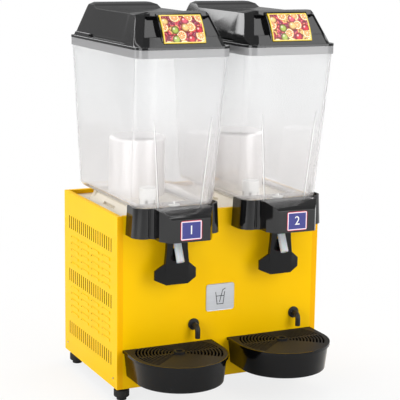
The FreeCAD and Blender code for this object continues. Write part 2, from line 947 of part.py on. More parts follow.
def make_back_panel():
    body = new_body("back_panel")
    edge = half_width - s.return_width
    back = s.cabinet_depth
    sheet = body_sketch(body, "back_sheet", "XY")
    draw_polygon(sheet, [(-edge, back - s.panel_sheet), (edge, back - s.panel_sheet),
                         (edge, back), (-edge, back)])
    pad(body, sheet, s.cabinet_height)
    lip = body_sketch(body, "back_lip", "XY", s.cabinet_height - s.panel_sheet)
    draw_polygon(lip, [(-edge, back - s.lip_width), (edge, back - s.lip_width),
                       (edge, back), (-edge, back)])
    pad(body, lip, s.panel_sheet)
    depth = s.panel_sheet + 2
    vent = body_sketch(body, "back_vent", "XZ", back + 1)
    x, z = s.back_vent_left, s.back_vent_bottom
    draw_polygon(vent, [(x, z), (x + s.back_vent_width, z),
                        (x + s.back_vent_width, z + s.back_vent_height),
                        (x, z + s.back_vent_height)])
    hole = pocket(body, vent, depth, backwards=True)
    pattern(body, hole, (("X", s.back_vent_pitch_x, s.back_vent_columns),
                         ("Z", s.back_vent_pitch_z, s.back_vent_rows)))
    holes = body_sketch(body, "back_holes", "XZ", back + 1)
    for side, sign in SIDES:
        draw_circle(holes, sided(sign, s.knob_spacing / 2), s.controls_z,
                    s.knob_shaft_radius + s.shaft_clearance)
    gap = s.switch_hole_clearance
    for name, x in switch_places():
        wide = s.switch_body_width / 2 + gap
        tall = s.switch_body_height / 2 + gap
        draw_polygon(holes, [(x - wide, s.controls_z - tall), (x + wide, s.controls_z - tall),
                             (x + wide, s.controls_z + tall), (x - wide, s.controls_z + tall)])
    wide = s.inlet_width / 2 + gap
    tall = s.inlet_height / 2 + gap
    draw_polygon(holes, [(s.inlet_x - wide, s.inlet_z - tall), (s.inlet_x + wide, s.inlet_z - tall),
                         (s.inlet_x + wide, s.inlet_z + tall), (s.inlet_x - wide, s.inlet_z + tall)])
    pocket(body, holes, depth, backwards=True)
    finish("back_panel", body)


def make_panel_screws():
    screws = []
    for side, sign in SIDES:
        for end, y in (("front", s.screw_from_edge), ("back", s.cabinet_depth - s.screw_from_edge)):
            outer = (half_width, half_width + s.screw_head_height)
            shank = (half_width - s.panel_sheet, half_width + s.screw_head_height / 2)
            if sign < 0:
                outer = (-outer[1], -outer[0])
                shank = (-shank[1], -shank[0])
            place = (y, s.screw_from_edge)
            name = f"screw_{side}_{end}"
            head = cylinder(name + "_head", s.screw_head_radius, "x", place, outer)
            stem = cylinder(name + "_shank", s.screw_shank_radius, "x", place, shank)
            screws.append(fuse(name, head, stem))
    finish("panel_screws", group("screws_group", *screws))


# Top plate with a plinth for each tank


def make_top_plate():
    gap = s.plate_clearance
    low = plate_top - s.plate_thickness
    plate = box("plate_slab", (gap - panel_inside, panel_inside - gap),
                (s.panel_sheet + gap, s.cabinet_depth - s.panel_sheet - gap), (low, plate_top))
    adds, cuts = [], []
    plinth_levels = [
        (height, (-half, half), (s.plinth_front, s.plinth_back), [s.plinth_corner] * 4)
        for height, half in ((low, s.plinth_foot_half_width), (plate_top, s.plinth_foot_half_width),
                             (plinth_level, s.plinth_half_width))
    ]
    for side, sign in SIDES:
        middle = sided(sign, s.tank_offset)
        adds.append(copy_at(side + "_plinth", rounded_loft(side + "_plinth_core", *plinth_levels),
                            x=middle))
        for post_sign in (-1, 1):
            adds.append(cylinder(
                f"{side}_locating_post_{post_sign}", s.locating_post_radius, "z",
                (middle + sided(post_sign, s.locating_post_x), s.locating_post_y),
                (plate_top - 1, tank_base)))
        pump = (middle + s.housing_x, s.housing_y)
        adds.append(cylinder(side + "_spindle", s.spindle_radius, "z", pump,
                             (plinth_level - 1, plinth_level + s.spindle_height)))
        cuts.append(cylinder(side + "_magnet_well", s.magnet_well_radius, "z", pump,
                             (low - 1, plinth_level - s.plinth_top)))
        for leg_sign in (-1, 1):
            cuts.append(cylinder(
                f"{side}_leg_hole_{leg_sign}", s.coil_leg_radius + s.leg_clearance, "z",
                (middle + sided(leg_sign, s.coil_leg_spacing), s.evaporator_y),
                (low - 1, plinth_level + 1)))
        cuts.append(cylinder(side + "_drain_hole", s.drain_bore, "z",
                             (middle + s.drain_x, s.hose_y), (low - 1, plinth_level + 1)))
        foot = middle - s.plinth_foot_half_width
        slot_low = plate_top + s.plinth_slot_low
        cuts.append(box(side + "_plinth_slot", (foot - 1, foot + s.plinth_slot_reach),
                        (s.plinth_slot_front, s.plinth_slot_front + s.plinth_slot_length),
                        (slot_low, slot_low + s.plinth_slot_height)))
    finish("top_plate", cut("plate", fuse("plate_body", plate, *adds), *cuts))


# Tanks


def tank_section(height_share, inset=0):
    """The tank's plan at a share of its height, drawn in by an inset on every side."""
    def between(bottom, top):
        return bottom + (top - bottom) * height_share
    half = between(s.tank_bottom_width, s.tank_top_width) / 2 - inset
    front = between(s.tank_bottom_front, s.tank_top_front) - inset
    back = between(s.tank_bottom_back, s.tank_top_back) - inset
    corner = between(s.tank_bottom_corner, s.tank_top_corner) - inset
    rear = between(s.tank_bottom_back_corner, s.tank_top_back_corner) - inset
    return (-half, half), (-front, back), [corner, corner, rear, rear]


rim_section = tank_section(1, -s.collar_step - s.rim_overhang)
lid_roof = tank_rim + s.rim_height
lid_top = lid_roof + s.lid_height


def opening_span():
    front = s.housing_y - s.housing_radius - s.opening_margin
    back = s.evaporator_y + s.evaporator_radius + s.opening_margin
    return front, back


def make_tank(side, sign):
    outer = rounded_loft(side + "_tank_outer", (tank_base, *tank_section(0)),
                         (tank_rim, *tank_section(1)))
    outer = round_edges(side + "_tank_rounded", outer, level_edge(tank_base), s.tank_bottom_round)
    collar_x, collar_y, collar_radii = tank_section(1, -s.collar_step)
    collar = rounded_loft(side + "_tank_collar",
                          (tank_rim - s.collar_height, collar_x, collar_y, collar_radii),
                          (tank_rim, collar_x, collar_y, collar_radii))
    inner = rounded_loft(side + "_tank_inner", (tank_inside, *tank_section(0, s.tank_wall)),
                         (tank_rim, *tank_section(1, s.tank_wall)))
    inner = round_edges(side + "_tank_inner_rounded", inner, level_edge(tank_inside),
                        s.tank_bottom_round * 0.75)
    front, back = opening_span()
    wide = s.opening_half_width
    opening = rounded_loft(side + "_floor_opening",
                           (tank_base - 1, (-wide, wide), (front, back), [s.opening_corner] * 4),
                           (tank_inside + 1, (-wide, wide), (front, back), [s.opening_corner] * 4))
    boss = cylinder(side + "_outlet_boss", s.outlet_radius, "z", (0, s.outlet_y),
                    (tank_base - s.outlet_drop, tank_base + 1))
    bore = cylinder(side + "_outlet_bore", s.spout_radius + s.spout_fit, "z", (0, s.outlet_y),
                    (tank_base - s.outlet_drop - 1, tank_inside + 1))
    ears = []
    for ear_sign in (-1, 1):
        near = s.rail_outer + s.ear_clearance
        x = (near, near + s.ear_thickness)
        x = x if ear_sign > 0 else (-x[1], -x[0])
        ears.append(box(f"{side}_ear_{ear_sign}", x,
                        (s.pivot_y - s.ear_width / 2, s.pivot_y + s.ear_width / 2),
                        (pivot_z - s.ear_below_pivot, tank_base + 1)))
    reach = s.rail_outer + s.ear_clearance + s.ear_thickness
    pin_hole = cylinder(side + "_pin_hole", s.pin_radius + s.pin_clearance, "x",
                        (s.pivot_y, pivot_z), (-reach - 1, reach + 1))
    shell = fuse(side + "_tank_solid", outer, collar, boss, *ears)
    finish(side + "_tank", cut(side + "_tank_shell", shell, inner, opening, bore, pin_hole),
           x=sided(sign, s.tank_offset))


def gasket_ring(side, low, high):
    front, back = opening_span()
    inner = s.opening_half_width + s.gasket_clearance
    outer = inner + s.gasket_lip
    gap, lip = s.gasket_clearance, s.gasket_lip
    corner = s.opening_corner + gap
    ring = rounded_loft(side + "_gasket_outer",
                        (low, (-outer, outer), (front - gap - lip, back + gap + lip),
                         [corner + lip] * 4),
                        (high, (-outer, outer), (front - gap - lip, back + gap + lip),
                         [corner + lip] * 4))
    hole = rounded_loft(side + "_gasket_inner",
                        (low - 1, (-inner, inner), (front - gap, back + gap), [corner] * 4),
                        (high + 1, (-inner, inner), (front - gap, back + gap), [corner] * 4))
    return copy_at(side + "_gasket", cut(side + "_gasket_ring", ring, hole))


def make_gaskets():
    rings = []
    for side, sign in SIDES:
        ring = gasket_ring(side, plinth_level, tank_base)
        seat(ring, sided(sign, s.tank_offset), 0, 0)
        rings.append(ring)
    finish("tank_gaskets", group("gaskets_group", *rings))


# Lids


def lid_outline(half, front, back, front_cut, bend, back_cut):
    """A ten-cornered plan: straight sides, with each front corner cut off in two flats that meet
    at a bend, and each rear corner in one."""
    cut_x, cut_y = front_cut
    bend_x, bend_y = bend
    return mirrored([(half - cut_x, -front), (half - bend_x, bend_y - front), (half, cut_y - front),
                     (half, back - back_cut), (half - back_cut, back)])


def hood_at(height):
    """The hood's half width, front, back, front cut, bend and rear cut at one height: each
    changes evenly from the roof of the rim to the top."""
    rim_x, rim_y, _ = rim_section
    foot = (rim_x[1] - s.lid_side_inset, -rim_y[0] - s.lid_side_inset, rim_y[1] - s.lid_side_inset,
            s.lid_low_cut_x, s.lid_low_bend_x, s.lid_low_back_cut)
    crown = (s.lid_top_half_width, s.lid_top_front, s.lid_top_back,
             s.lid_top_cut_x, s.lid_top_bend_x, s.lid_top_back_cut)
    share = (height - lid_roof) / s.lid_height
    return [low + (high - low) * share for low, high in zip(foot, crown)]


def hood_outline(height, inset=0, front_inset=0):
    half, front, back, cut_x, bend_x, back_cut = hood_at(height)
    return lid_outline(half - inset, front - inset - front_inset, back - inset,
                       (cut_x, s.lid_cut_y), (bend_x, s.lid_bend_y), back_cut)


def lid_brow(side):
    """The low crown over the picture."""
    foot = lid_outline(s.lid_top_half_width, s.lid_top_front, s.brow_back,
                       (s.lid_top_cut_x, s.lid_cut_y), (s.lid_top_bend_x, s.lid_bend_y),
                       s.lid_top_back_cut)
    corner = s.brow_crest_cut
    crest = lid_outline(s.brow_crest_half_width, s.lid_top_front - s.brow_crest_inset,
                        s.brow_crest_back, (corner, corner * 2), (corner / 2, corner / 2), corner)
    return polygon_loft(side + "_brow", (lid_top, foot), (lid_top + s.brow_height, crest))


def lid_ridge(side):
    """The handhold that runs across the rear of the top, flush with the hood's flanks."""
    def level(half, front, back, corner):
        return mirrored([(half, front), (half, back - corner), (half - corner, back)])
    return polygon_loft(
        side + "_ridge",
        (lid_top, level(s.lid_top_half_width, s.ridge_front, s.lid_top_back, s.lid_top_back_cut)),
        (lid_top + s.ridge_shoulder_height,
         level(s.ridge_shoulder_half_width, s.ridge_shoulder_front, s.ridge_shoulder_back,
               s.ridge_shoulder_cut)),
        (lid_top + s.ridge_height,
         level(s.ridge_crest_half_width, s.ridge_crest_front, s.ridge_crest_back,
               s.ridge_crest_cut)))


def lid_flank_cuts(side, flank):
    """A shallow recess with a bevelled front end, open above and behind, and the finger gap that
    it stands on."""
    gap_low = lid_roof + s.finger_gap_low
    gap_high = gap_low + s.finger_gap_height
    levels = []
    for height in (gap_high, lid_top + s.ridge_height + 1):
        wide, _, back = hood_at(height)[:3]
        near, far, end = wide - s.recess_depth, wide + s.recess_depth, back + s.recess_depth
        corners = [(near, s.recess_front), (wide, s.recess_bevel_front),
                   (far, s.recess_bevel_front), (far, end), (near, end)]
        levels.append((height, [(sided(flank, x), y) for x, y in corners]))
    foot_half = hood_at(gap_low)[0]
    depth = (foot_half - s.finger_gap_depth, foot_half + s.finger_gap_depth)
    x = depth if flank > 0 else (-depth[1], -depth[0])
    return [polygon_loft(f"{side}_recess_{flank}", *levels),
            box(f"{side}_finger_gap_{flank}", x, (s.finger_gap_front, s.finger_gap_back),
                (gap_low, gap_high))]


def lid_front_pocket(side, flank):
    """Beside the picture the hood's front stands back, from a sill up to the brow."""
    levels = []
    for height in (lid_roof + s.pocket_low, lid_top - s.pocket_roof):
        half, front, _, _, bend_x, _ = hood_at(height)
        x = (s.boss_half_width, half - bend_x - s.pocket_side_wall)
        y = (-front - s.pocket_depth, s.pocket_depth - front)
        corners = [(x[0], y[0]), (x[1], y[0]), (x[1], y[1]), (x[0], y[1])]
        levels.append((height, [(sided(flank, across), deep) for across, deep in corners]))
    return polygon_loft(f"{side}_pocket_{flank}", *levels)


def make_lid(side, sign):
    rim = rounded_loft(side + "_lid_rim", (tank_rim, *rim_section), (lid_roof, *rim_section))
    hood = polygon_loft(side + "_hood", (lid_roof, hood_outline(lid_roof)),
                        (lid_top, hood_outline(lid_top)))
    bow_place = (s.front_bow_y, lid_roof - s.front_bow_drop)
    front_space = (rim_section[1][0] - s.picture_thickness, Size("0", 0))
    bow = cylinder(side + "_bow", s.front_bow_radius, "x", bow_place,
                   (-s.boss_half_width, s.boss_half_width))
    boss = common(side + "_boss", bow,
                  box(side + "_boss_box", (-s.boss_half_width, s.boss_half_width), front_space,
                      (lid_roof, lid_roof + s.boss_height)))
    skirt_inset = s.tank_wall + s.skirt_clearance
    skirt_share = 1 - s.skirt_height / s.tank_height
    skirt_low = tank_rim - s.skirt_height
    skirt = rounded_loft(side + "_skirt", (skirt_low, *tank_section(skirt_share, skirt_inset)),
                         (lid_roof, *tank_section(1, skirt_inset)))
    well_section = tank_section(skirt_share, skirt_inset + s.skirt_wall)
    well = rounded_loft(side + "_skirt_well", (skirt_low - 1, *well_section),
                        (lid_roof, *well_section))
    shell = s.lid_shell
    ceiling = lid_top - shell / 2
    cavity = polygon_loft(side + "_lid_cavity",
                          (lid_roof, hood_outline(lid_roof, shell, s.pocket_depth)),
                          (ceiling, hood_outline(ceiling, shell, s.pocket_depth)))
    openings = [well, cavity]
    for flank in (-1, 1):
        openings += lid_flank_cuts(side, flank)
        openings.append(lid_front_pocket(side, flank))
    solid = fuse(side + "_lid_solid", rim, hood, lid_brow(side), lid_ridge(side), boss, skirt)
    span = (-s.picture_half_width, s.picture_half_width)
    tube = cut(side + "_picture_tube",
               cylinder(side + "_picture_outer", s.front_bow_radius + s.picture_thickness, "x",
                        bow_place, span),
               cylinder(side + "_picture_inner", s.front_bow_radius, "x", bow_place,
                        (-s.picture_half_width - 1, s.picture_half_width + 1)))
    window = box(side + "_picture_box", span, front_space,
                 (lid_roof + s.picture_low, lid_roof + s.picture_high))
    picture = common(side + "_picture", tube, window)
    openings.append(copy_at(side + "_picture_seat", picture))
    finish(side + "_lid", cut(side + "_lid_shell", solid, *openings),
           x=sided(sign, s.tank_offset))
    finish(side + "_picture_panel", copy_at(side + "_picture_card", picture),
           x=sided(sign, s.tank_offset))


# Tap: cover, label, lever, pin, valve, spout and spring

# How far a hollow runs on past each end of the cover, as a share of its height.
HOLLOW_ENDS = 0.1


def make_tap_cover(side, sign):
    low = tank_base + s.cover_overlap - s.cover_height
    high = tank_base + s.cover_overlap
    bevel = high - s.block_bevel_height
    brow = high - s.block_brow_height
    wall = s.cover_wall
    inner_half = s.tank_bottom_width / 2 + s.cover_clearance
    inner_front = s.tank_bottom_front + s.cover_clearance
    outer_half, outer_front = inner_half + wall, inner_front + wall

    def wings(name, inset, ends, rear):
        """A bay round the tank's foot that widens downwards; each end lies beyond the cover by a
        share of its height."""
        levels = []
        for share, beyond in ((0, -ends), (1, ends)):
            place = share + beyond
            half = outer_half - inset + s.cover_flare * (1 - place)
            corner = s.cover_corner - inset
            levels.append((low + s.cover_height * place, (-half, half), (inset - outer_front, rear),
                           [corner, corner, None, None]))
        return rounded_loft(name, *levels)

    def block(name, inset, foot, root):
        """The block round the tap: its plan and its side view, in one solid."""
        plan = mirrored([(s.block_face_half_width - inset / 2, inset - s.block_depth),
                         (s.block_cheek_half_width - inset, inset / 2 - s.block_cheek_depth),
                         (s.block_half_width - inset, inset / 4 - s.block_side_depth),
                         (s.block_half_width - inset, -root)])
        crown = high - inset
        depths = [(foot, s.block_depth - inset), (bevel - inset / 2, s.block_depth - inset),
                  (brow - inset / 2, s.block_brow_depth - inset / 2), (crown, s.block_top_depth - inset / 4)]
        wide = s.block_half_width + 1
        levels = [(height, mirrored([(wide, -depth), (wide, -root)])) for height, depth in depths]
        return common(name, polygon_loft(name + "_plan", (foot, plan), (crown, plan)),
                      polygon_loft(name + "_side_view", *levels))

    solids = [wings(side + "_wings", 0, 0, -s.cover_back_gap),
              block(side + "_block", 0, low, inner_front + wall / 2)]
    hollows = [wings(side + "_wings_hollow", wall, HOLLOW_ENDS, s.cover_back_gap),
               block(side + "_block_hollow", wall, low - 1, inner_front - 1)]
    for flank in (-1, 1):
        end = s.block_half_width + s.cove_radius
        x = (s.block_half_width - wall / 2, end)
        x = x if flank > 0 else (-x[1], -x[0])
        middle = (sided(flank, end), -outer_front - s.cove_radius)
        corner = box(f"{side}_cove_block_{flank}", x, (middle[1], wall / 2 - outer_front), (low, high))
        round_tool = cylinder(f"{side}_cove_round_{flank}", s.cove_radius, "z", middle,
                              (low - 1, high + 1))
        solids.append(cut(f"{side}_cove_{flank}", corner, round_tool))
        hollows.append(cylinder(f"{side}_groove_{flank}", s.groove_radius, "z",
                                (sided(flank, s.groove_x), -outer_front), (low - 1, high + 1)))
    shell = cut(side + "_cover_shell", fuse(side + "_cover_solid", *solids), *hollows)
    shelves = []
    for flank in (-1, 1):
        x = (inner_half - s.shelf_reach, inner_half + wall / 2)
        x = x if flank > 0 else (-x[1], -x[0])
        shelves.append(box(f"{side}_shelf_{flank}", x, (s.shelf_front, s.shelf_back),
                           (tank_base - s.shelf_thickness, tank_base)))
    tab = box(side + "_tab", (inner_half + s.tab_gap, outer_half),
              (s.tab_y - s.tab_width / 2, s.tab_y + s.tab_width / 2), (high - 1, high + s.tab_height))
    finish(side + "_tap_cover", fuse(side + "_cover", shell, tab, *shelves),
           x=sided(sign, s.tank_offset))

    label_low = bevel - s.label_below_bevel - s.label_height
    body = new_body(side + "_tap_label")
    plate = body_sketch(body, side + "_label_outline", "XZ", -s.block_depth)
    draw_rounded(plate, (-s.label_width / 2, s.label_width / 2),
                 (label_low, label_low + s.label_height), [s.label_corner] * 4)
    pad(body, plate, s.label_thickness)
    finish(side + "_tap_label", body, x=sided(sign, s.tank_offset))


def make_lever(side, sign):
    """Two hubs on the pivot pin, a neck with a slot that the spout leans through, a paddle with
    swept sides, and a crossbar behind whose tongue lifts the valve's stem."""
    front = s.pivot_y - s.neck_thickness / 2
    rear = s.pivot_y + s.neck_thickness / 2
    rail_inner = s.spout_radius + s.rail_clearance
    outline = level_outline(side)
    neck = doc.addObject("Part::Extrusion", side + "_neck_plate")
    neck.Base = outline
    neck.DirMode = "Custom"
    neck.Dir = FreeCAD.Vector(0, 1, 0)
    neck.Solid = True
    bind(neck, "LengthFwd", s.neck_thickness + s.paddle_bend)
    slab = box(side + "_neck_slab", (-s.neck_low_half_width, s.neck_low_half_width), (front, rear),
               (pivot_z - s.paddle_shoulder, pivot_z))
    neck_body = common(side + "_neck", neck, slab)
    low, shoulder = pivot_z - s.paddle_bottom - 1, pivot_z - s.neck_low
    thick = s.paddle_thickness
    strip = [(s.paddle_half_width + 1, front + s.paddle_bend),
             (s.paddle_half_width + 1, front + s.paddle_bend + thick),
             (s.paddle_flat_half_width, front + thick)]
    strip_outline = [(s.paddle_flat_half_width, front)] + strip
    bent = polygon_loft(side + "_paddle_strip", (low, mirrored(strip_outline)),
                        (shoulder, mirrored(strip_outline)))
    paddle = common(side + "_paddle", bent, neck)
    bar_top = pivot_z - s.crossbar_below_pivot
    bar_low = bar_top - s.crossbar_height
    pieces = [neck_body, paddle]
    for flank in (-1, 1):
        x = (rail_inner, s.rail_outer) if flank > 0 else (-s.rail_outer, -rail_inner)
        pieces.append(cylinder(f"{side}_hub_{flank}", s.hub_radius, "x", (s.pivot_y, pivot_z), x))
        pieces.append(box(f"{side}_link_{flank}", x, (s.pivot_y, s.crossbar_back), (bar_low, bar_top)))
    pieces.append(box(side + "_crossbar", (-s.rail_outer, s.rail_outer),
                      (s.crossbar_front, s.crossbar_back), (bar_low, bar_top)))
    pieces.append(box(side + "_tongue", (-s.tongue_width / 2, s.tongue_width / 2),
                      (s.outlet_y - s.tongue_past_stem, s.crossbar_front + 1),
                      (bar_low, bar_low + s.tongue_height)))
    slot = box(side + "_neck_slot", (-rail_inner, rail_inner), (front - 1, rear + 1),
               (pivot_z - s.slot_bottom, pivot_z + s.hub_radius))
    recess = box(side + "_neck_recess", (-rail_inner, rail_inner), (front - 1, rear - s.recess_web),
                 (pivot_z - s.recess_bottom, pivot_z - s.slot_bottom + 1))
    pin_hole = cylinder(side + "_hub_bore", s.pin_radius + s.pin_clearance, "x",
                        (s.pivot_y, pivot_z), (-s.rail_outer - 1, s.rail_outer + 1))
    finish(side + "_tap_lever",
           cut(side + "_lever", fuse(side + "_lever_solid", *pieces), slot, recess, pin_hole),
           x=sided(sign, s.tank_offset))
    reach = s.rail_outer + s.ear_clearance + s.ear_thickness
    pin = cylinder(side + "_pin_core", s.pin_radius, "x", (s.pivot_y, pivot_z), (-reach, reach))
    finish(side + "_lever_pin", copy_at(side + "_pin", pin), x=sided(sign, s.tank_offset))


def level_outline(side):
    """The lever seen from the front, as a sketch that stands upright."""
    sketch = doc.addObject("Sketcher::SketchObject", side + "_lever_outline")
    sketch.Placement = FreeCAD.Placement(
        FreeCAD.Vector(), FreeCAD.Rotation(FreeCAD.Vector(1, 0, 0), 90))
    seat(sketch, 0, s.pivot_y - s.neck_thickness / 2, 0)
    draw_polygon(sketch, mirrored([
        (s.rail_outer, pivot_z), (s.neck_half_width, pivot_z - s.slot_bottom),
        (s.neck_low_half_width, pivot_z - s.neck_low),
        (s.paddle_half_width, pivot_z - s.paddle_shoulder),
        (s.paddle_half_width, pivot_z - s.paddle_corner),
        (s.paddle_flat_half_width, pivot_z - s.paddle_bottom)]))
    return sketch


def make_valve(side, sign):
    stem_low = (pivot_z - s.crossbar_below_pivot - s.crossbar_height + s.tongue_height
                + s.stem_clearance)
    head = cylinder(side + "_valve_head", s.valve_head_radius, "z", (0, s.outlet_y),
                    (tank_inside, tank_inside + s.valve_head_height))
    stem = cylinder(side + "_valve_stem", s.valve_stem_radius, "z", (0, s.outlet_y),
                    (stem_low, tank_inside + s.valve_head_height + s.valve_grip_height))
    finish(side + "_tap_valve", fuse(side + "_valve", head, stem), x=sided(sign, s.tank_offset))


def make_spout(side, sign):
    elbow_z = tank_base - s.spout_elbow_drop
    top = tank_base - s.outlet_drop + s.spout_insert

    def bent(name, radius, length, top_level):
        upright = cylinder(name + "_upright", radius, "z", (0, s.outlet_y), (elbow_z, top_level))
        corner = sphere(name + "_corner", radius, 0, s.outlet_y, elbow_z)
        leaning = doc.addObject("Part::Cylinder", name + "_leaning")
        bind(leaning, "Radius", radius)
        bind(leaning, "Height", length)
        leaning.Placement = FreeCAD.Placement(
            FreeCAD.Vector(), FreeCAD.Rotation(FreeCAD.Vector(1, 0, 0), 180 - float(s.spout_lean)))
        leaning.setExpression("Placement.Rotation.Angle", (180 - s.spout_lean).formula)
        seat(leaning, 0, s.outlet_y, elbow_z)
        return fuse(name, upright, corner, leaning)

    outer = bent(side + "_spout_outer", s.spout_radius, s.spout_length, top)
    inner = bent(side + "_spout_inner", s.spout_radius - s.spout_wall, s.spout_length + 1, top + 1)
    bar_low = pivot_z - s.crossbar_below_pivot - s.crossbar_height
    window = box(side + "_spout_window", (-s.tongue_width, s.tongue_width),
                 (s.outlet_y, s.outlet_y + s.spout_radius * 2),
                 (bar_low - s.tongue_height, tank_base - s.outlet_drop - 3))
    finish(side + "_spout", cut(side + "_spout_tube", outer, inner, window),
           x=sided(sign, s.tank_offset))


def make_spring(side, sign):
    """The sleeve that the hidden return spring fills, from the lever's crossbar to the tank."""
    low = pivot_z - s.crossbar_below_pivot + s.spring_seat_gap
    high = tank_base - s.spring_seat_gap
    place = (0, s.spring_y)
    outer = cylinder(side + "_spring_outer", s.spring_radius, "z", place, (low, high))
    inner = cylinder(side + "_spring_inner", s.spring_bore, "z", place, (low - 1, high + 1))
    finish(side + "_tap_spring", cut(side + "_spring", outer, inner), x=sided(sign, s.tank_offset))


# Evaporators, cooling coils and pumps


def make_evaporators():
    shells, coils = [], []
    for side, sign in SIDES:
        middle = sided(sign, s.tank_offset)
        place = (middle, s.evaporator_y)
        top = plinth_level + s.evaporator_height
        outer = round_edges(side + "_evaporator_outer",
                            cylinder(side + "_evaporator_core", s.evaporator_radius, "z", place,
                                     (plinth_level, top)),
                            level_edge(top), s.evaporator_round)
        inner = cylinder(side + "_evaporator_inner", s.evaporator_radius - s.evaporator_wall, "z",
                         place, (plinth_level - 1, top - s.evaporator_round))
        shells.append(cut(side + "_evaporator", outer, inner))
        coil_low = plinth_level + s.coil_foot
        jacket = cut(side + "_coil_jacket",
                     cylinder(side + "_coil_outer", s.coil_radius, "z", place,
                              (coil_low, coil_low + s.coil_height)),
                     cylinder(side + "_coil_inner", s.coil_radius - s.coil_wall, "z", place,
                              (coil_low - 1, coil_low + s.coil_height + 1)))
        legs = [
            cylinder(f"{side}_coil_leg_{flank}", s.coil_leg_radius, "z",
                     (middle + sided(flank, s.coil_leg_spacing), s.evaporator_y),
                     (s.coil_leg_end, coil_low + 1))
            for flank in (-1, 1)
        ]
        coils.append(fuse(side + "_coil", jacket, *legs))
    finish("evaporators", group("evaporators_group", *shells))
    finish("cooling_coils", group("coils_group", *coils))


def ring_of(name, count, maker):
    """Fuses copies of a piece spaced evenly round the Z axis through its own origin."""
    pieces = []
    total = int(float(count))
    for number in range(total):
        piece = maker(f"{name}_{number}")
        pieces.append(copy_at(f"{name}_turned_{number}", piece, turn=360 * number / total))
    return fuse(name, *pieces) if total > 1 else pieces[0]


def make_pumps():
    housings, motors = [], []
    for side, sign in SIDES:
        middle = sided(sign, s.tank_offset)
        x, y = middle + s.housing_x, s.housing_y
        top = plinth_level + s.housing_height
        outer = cylinder(side + "_housing_outer", s.housing_radius, "z", (0, 0), (plinth_level, top))
        inner = cylinder(side + "_housing_inner", s.housing_radius - s.housing_wall, "z", (0, 0),
                         (plinth_level - 1, top - s.housing_wall))
        slots = ring_of(side + "_housing_slots", s.housing_slots, lambda name: box(
            name, (s.housing_radius / 2, s.housing_radius + 1),
            (-s.housing_slot_width / 2, s.housing_slot_width / 2),
            (plinth_level - 1, plinth_level + s.housing_slot_height)))
        eye = cylinder(side + "_housing_eye", s.housing_slot_width / 2, "z", (0, 0),
                       (top - s.housing_wall - 1, top + 1))
        housing = cut(side + "_housing", outer, inner, slots, eye)
        housings.append(copy_at(side + "_housing_placed", housing, x=x, y=y))

        disc_low = plinth_level + s.impeller_lift
        disc = cylinder(side + "_impeller_disc", s.impeller_radius, "z", (0, 0),
                        (disc_low, disc_low + s.impeller_disc))
        blades = ring_of(side + "_impeller_blades", s.impeller_blades, lambda name: box(
            name, (Size("0", 0), s.impeller_radius),
            (-s.impeller_blade_thickness / 2, s.impeller_blade_thickness / 2),
            (disc_low, disc_low + s.impeller_disc + s.impeller_blade_height)))
        hub = cylinder(side + "_impeller_hub", s.spindle_radius * 2, "z", (0, 0),
                       (disc_low, disc_low + s.impeller_disc + s.impeller_blade_height))
        bore = cylinder(side + "_impeller_bore", s.spindle_radius + s.shaft_clearance, "z", (0, 0),
                        (disc_low - 1, disc_low + s.impeller_disc + s.impeller_blade_height + 1))
        impeller = cut(side + "_impeller", fuse(side + "_impeller_solid", disc, blades, hub), bore)
        finish(side + "_pump_impeller", impeller, x=x, y=front_face + y)

        magnet_top = plinth_level - s.plinth_top - s.magnet_gap
        magnet_low = magnet_top - s.magnet_height
        plate_low = plate_top - s.plate_thickness
        flange_low = plate_low - s.motor_flange_thickness
        magnet = cylinder(side + "_magnet_disc", s.magnet_radius, "z", (0, 0), (magnet_low, magnet_top))
        shaft = cylinder(side + "_magnet_shaft", s.motor_shaft_radius, "z", (0, 0),
                         (flange_low - s.motor_height / 2, magnet_low + 1))
        finish(side + "_drive_magnet", fuse(side + "_magnet", magnet, shaft), x=x, y=front_face + y)

        can = cylinder(side + "_motor_can", s.motor_radius, "z", (0, 0),
                       (flange_low - s.motor_height, flange_low + 1))
        half = s.motor_flange / 2
        flange = box(side + "_motor_flange", (-half, half), (-half, half), (flange_low, plate_low))
        socket = cylinder(side + "_motor_bore", s.motor_shaft_radius + s.shaft_clearance, "z", (0, 0),
                          (flange_low - s.motor_height / 2 - 1, plate_low + 1))
        motor = cut(side + "_motor", fuse(side + "_motor_solid", can, flange), socket)
        motors.append(copy_at(side + "_motor_placed", motor, x=x, y=y))
    finish("pump_housings", group("housings_group", *housings))
    finish("pump_motors", group("motors_group", *motors))


# Drip trays, grids and brackets


def draw_d(sketch, half, straight, back):
    """Straight at the back and sides, a half circle at the front."""
    corners = [(half, -straight), (half, back), (-half, back), (-half, -straight)]
    for start, end in zip(corners, corners[1:]):
        line = sketch.addGeometry(Part.LineSegment(
            FreeCAD.Vector(float(start[0]), float(start[1]), 0),
            FreeCAD.Vector(float(end[0]), float(end[1]), 0)), False)
        fix_point(sketch, line, 1, *start)
        fix_point(sketch, line, 2, *end)
    circle = Part.Circle(FreeCAD.Vector(0, -float(straight), 0), FreeCAD.Vector(0, 0, 1), float(half))
    arc = sketch.addGeometry(Part.ArcOfCircle(circle, math.pi, math.pi * 2), False)
    sketch.addConstraint(Sketcher.Constraint("Coincident", 2, 2, arc, 1))
    sketch.addConstraint(Sketcher.Constraint("Coincident", arc, 2, 0, 1))
    number = sketch.addConstraint(Sketcher.Constraint("DistanceY", -1, 1, arc, 3, -float(straight)))
    sketch.setExpression(f"Constraints[{number}]", (-straight).formula)


def d_shape(name, half, straight, back, low, high, draft=0):
    """A D-shaped slab whose sides and front draw in by the draft at its foot."""
    sketches = []
    for number, (height, width) in enumerate(((low, half - draft), (high, half))):
        sketch = level_sketch(f"{name}_level_{number}", height)
        draw_d(sketch, width, straight, back)
        sketches.append(sketch)
    return loft(name, *sketches)


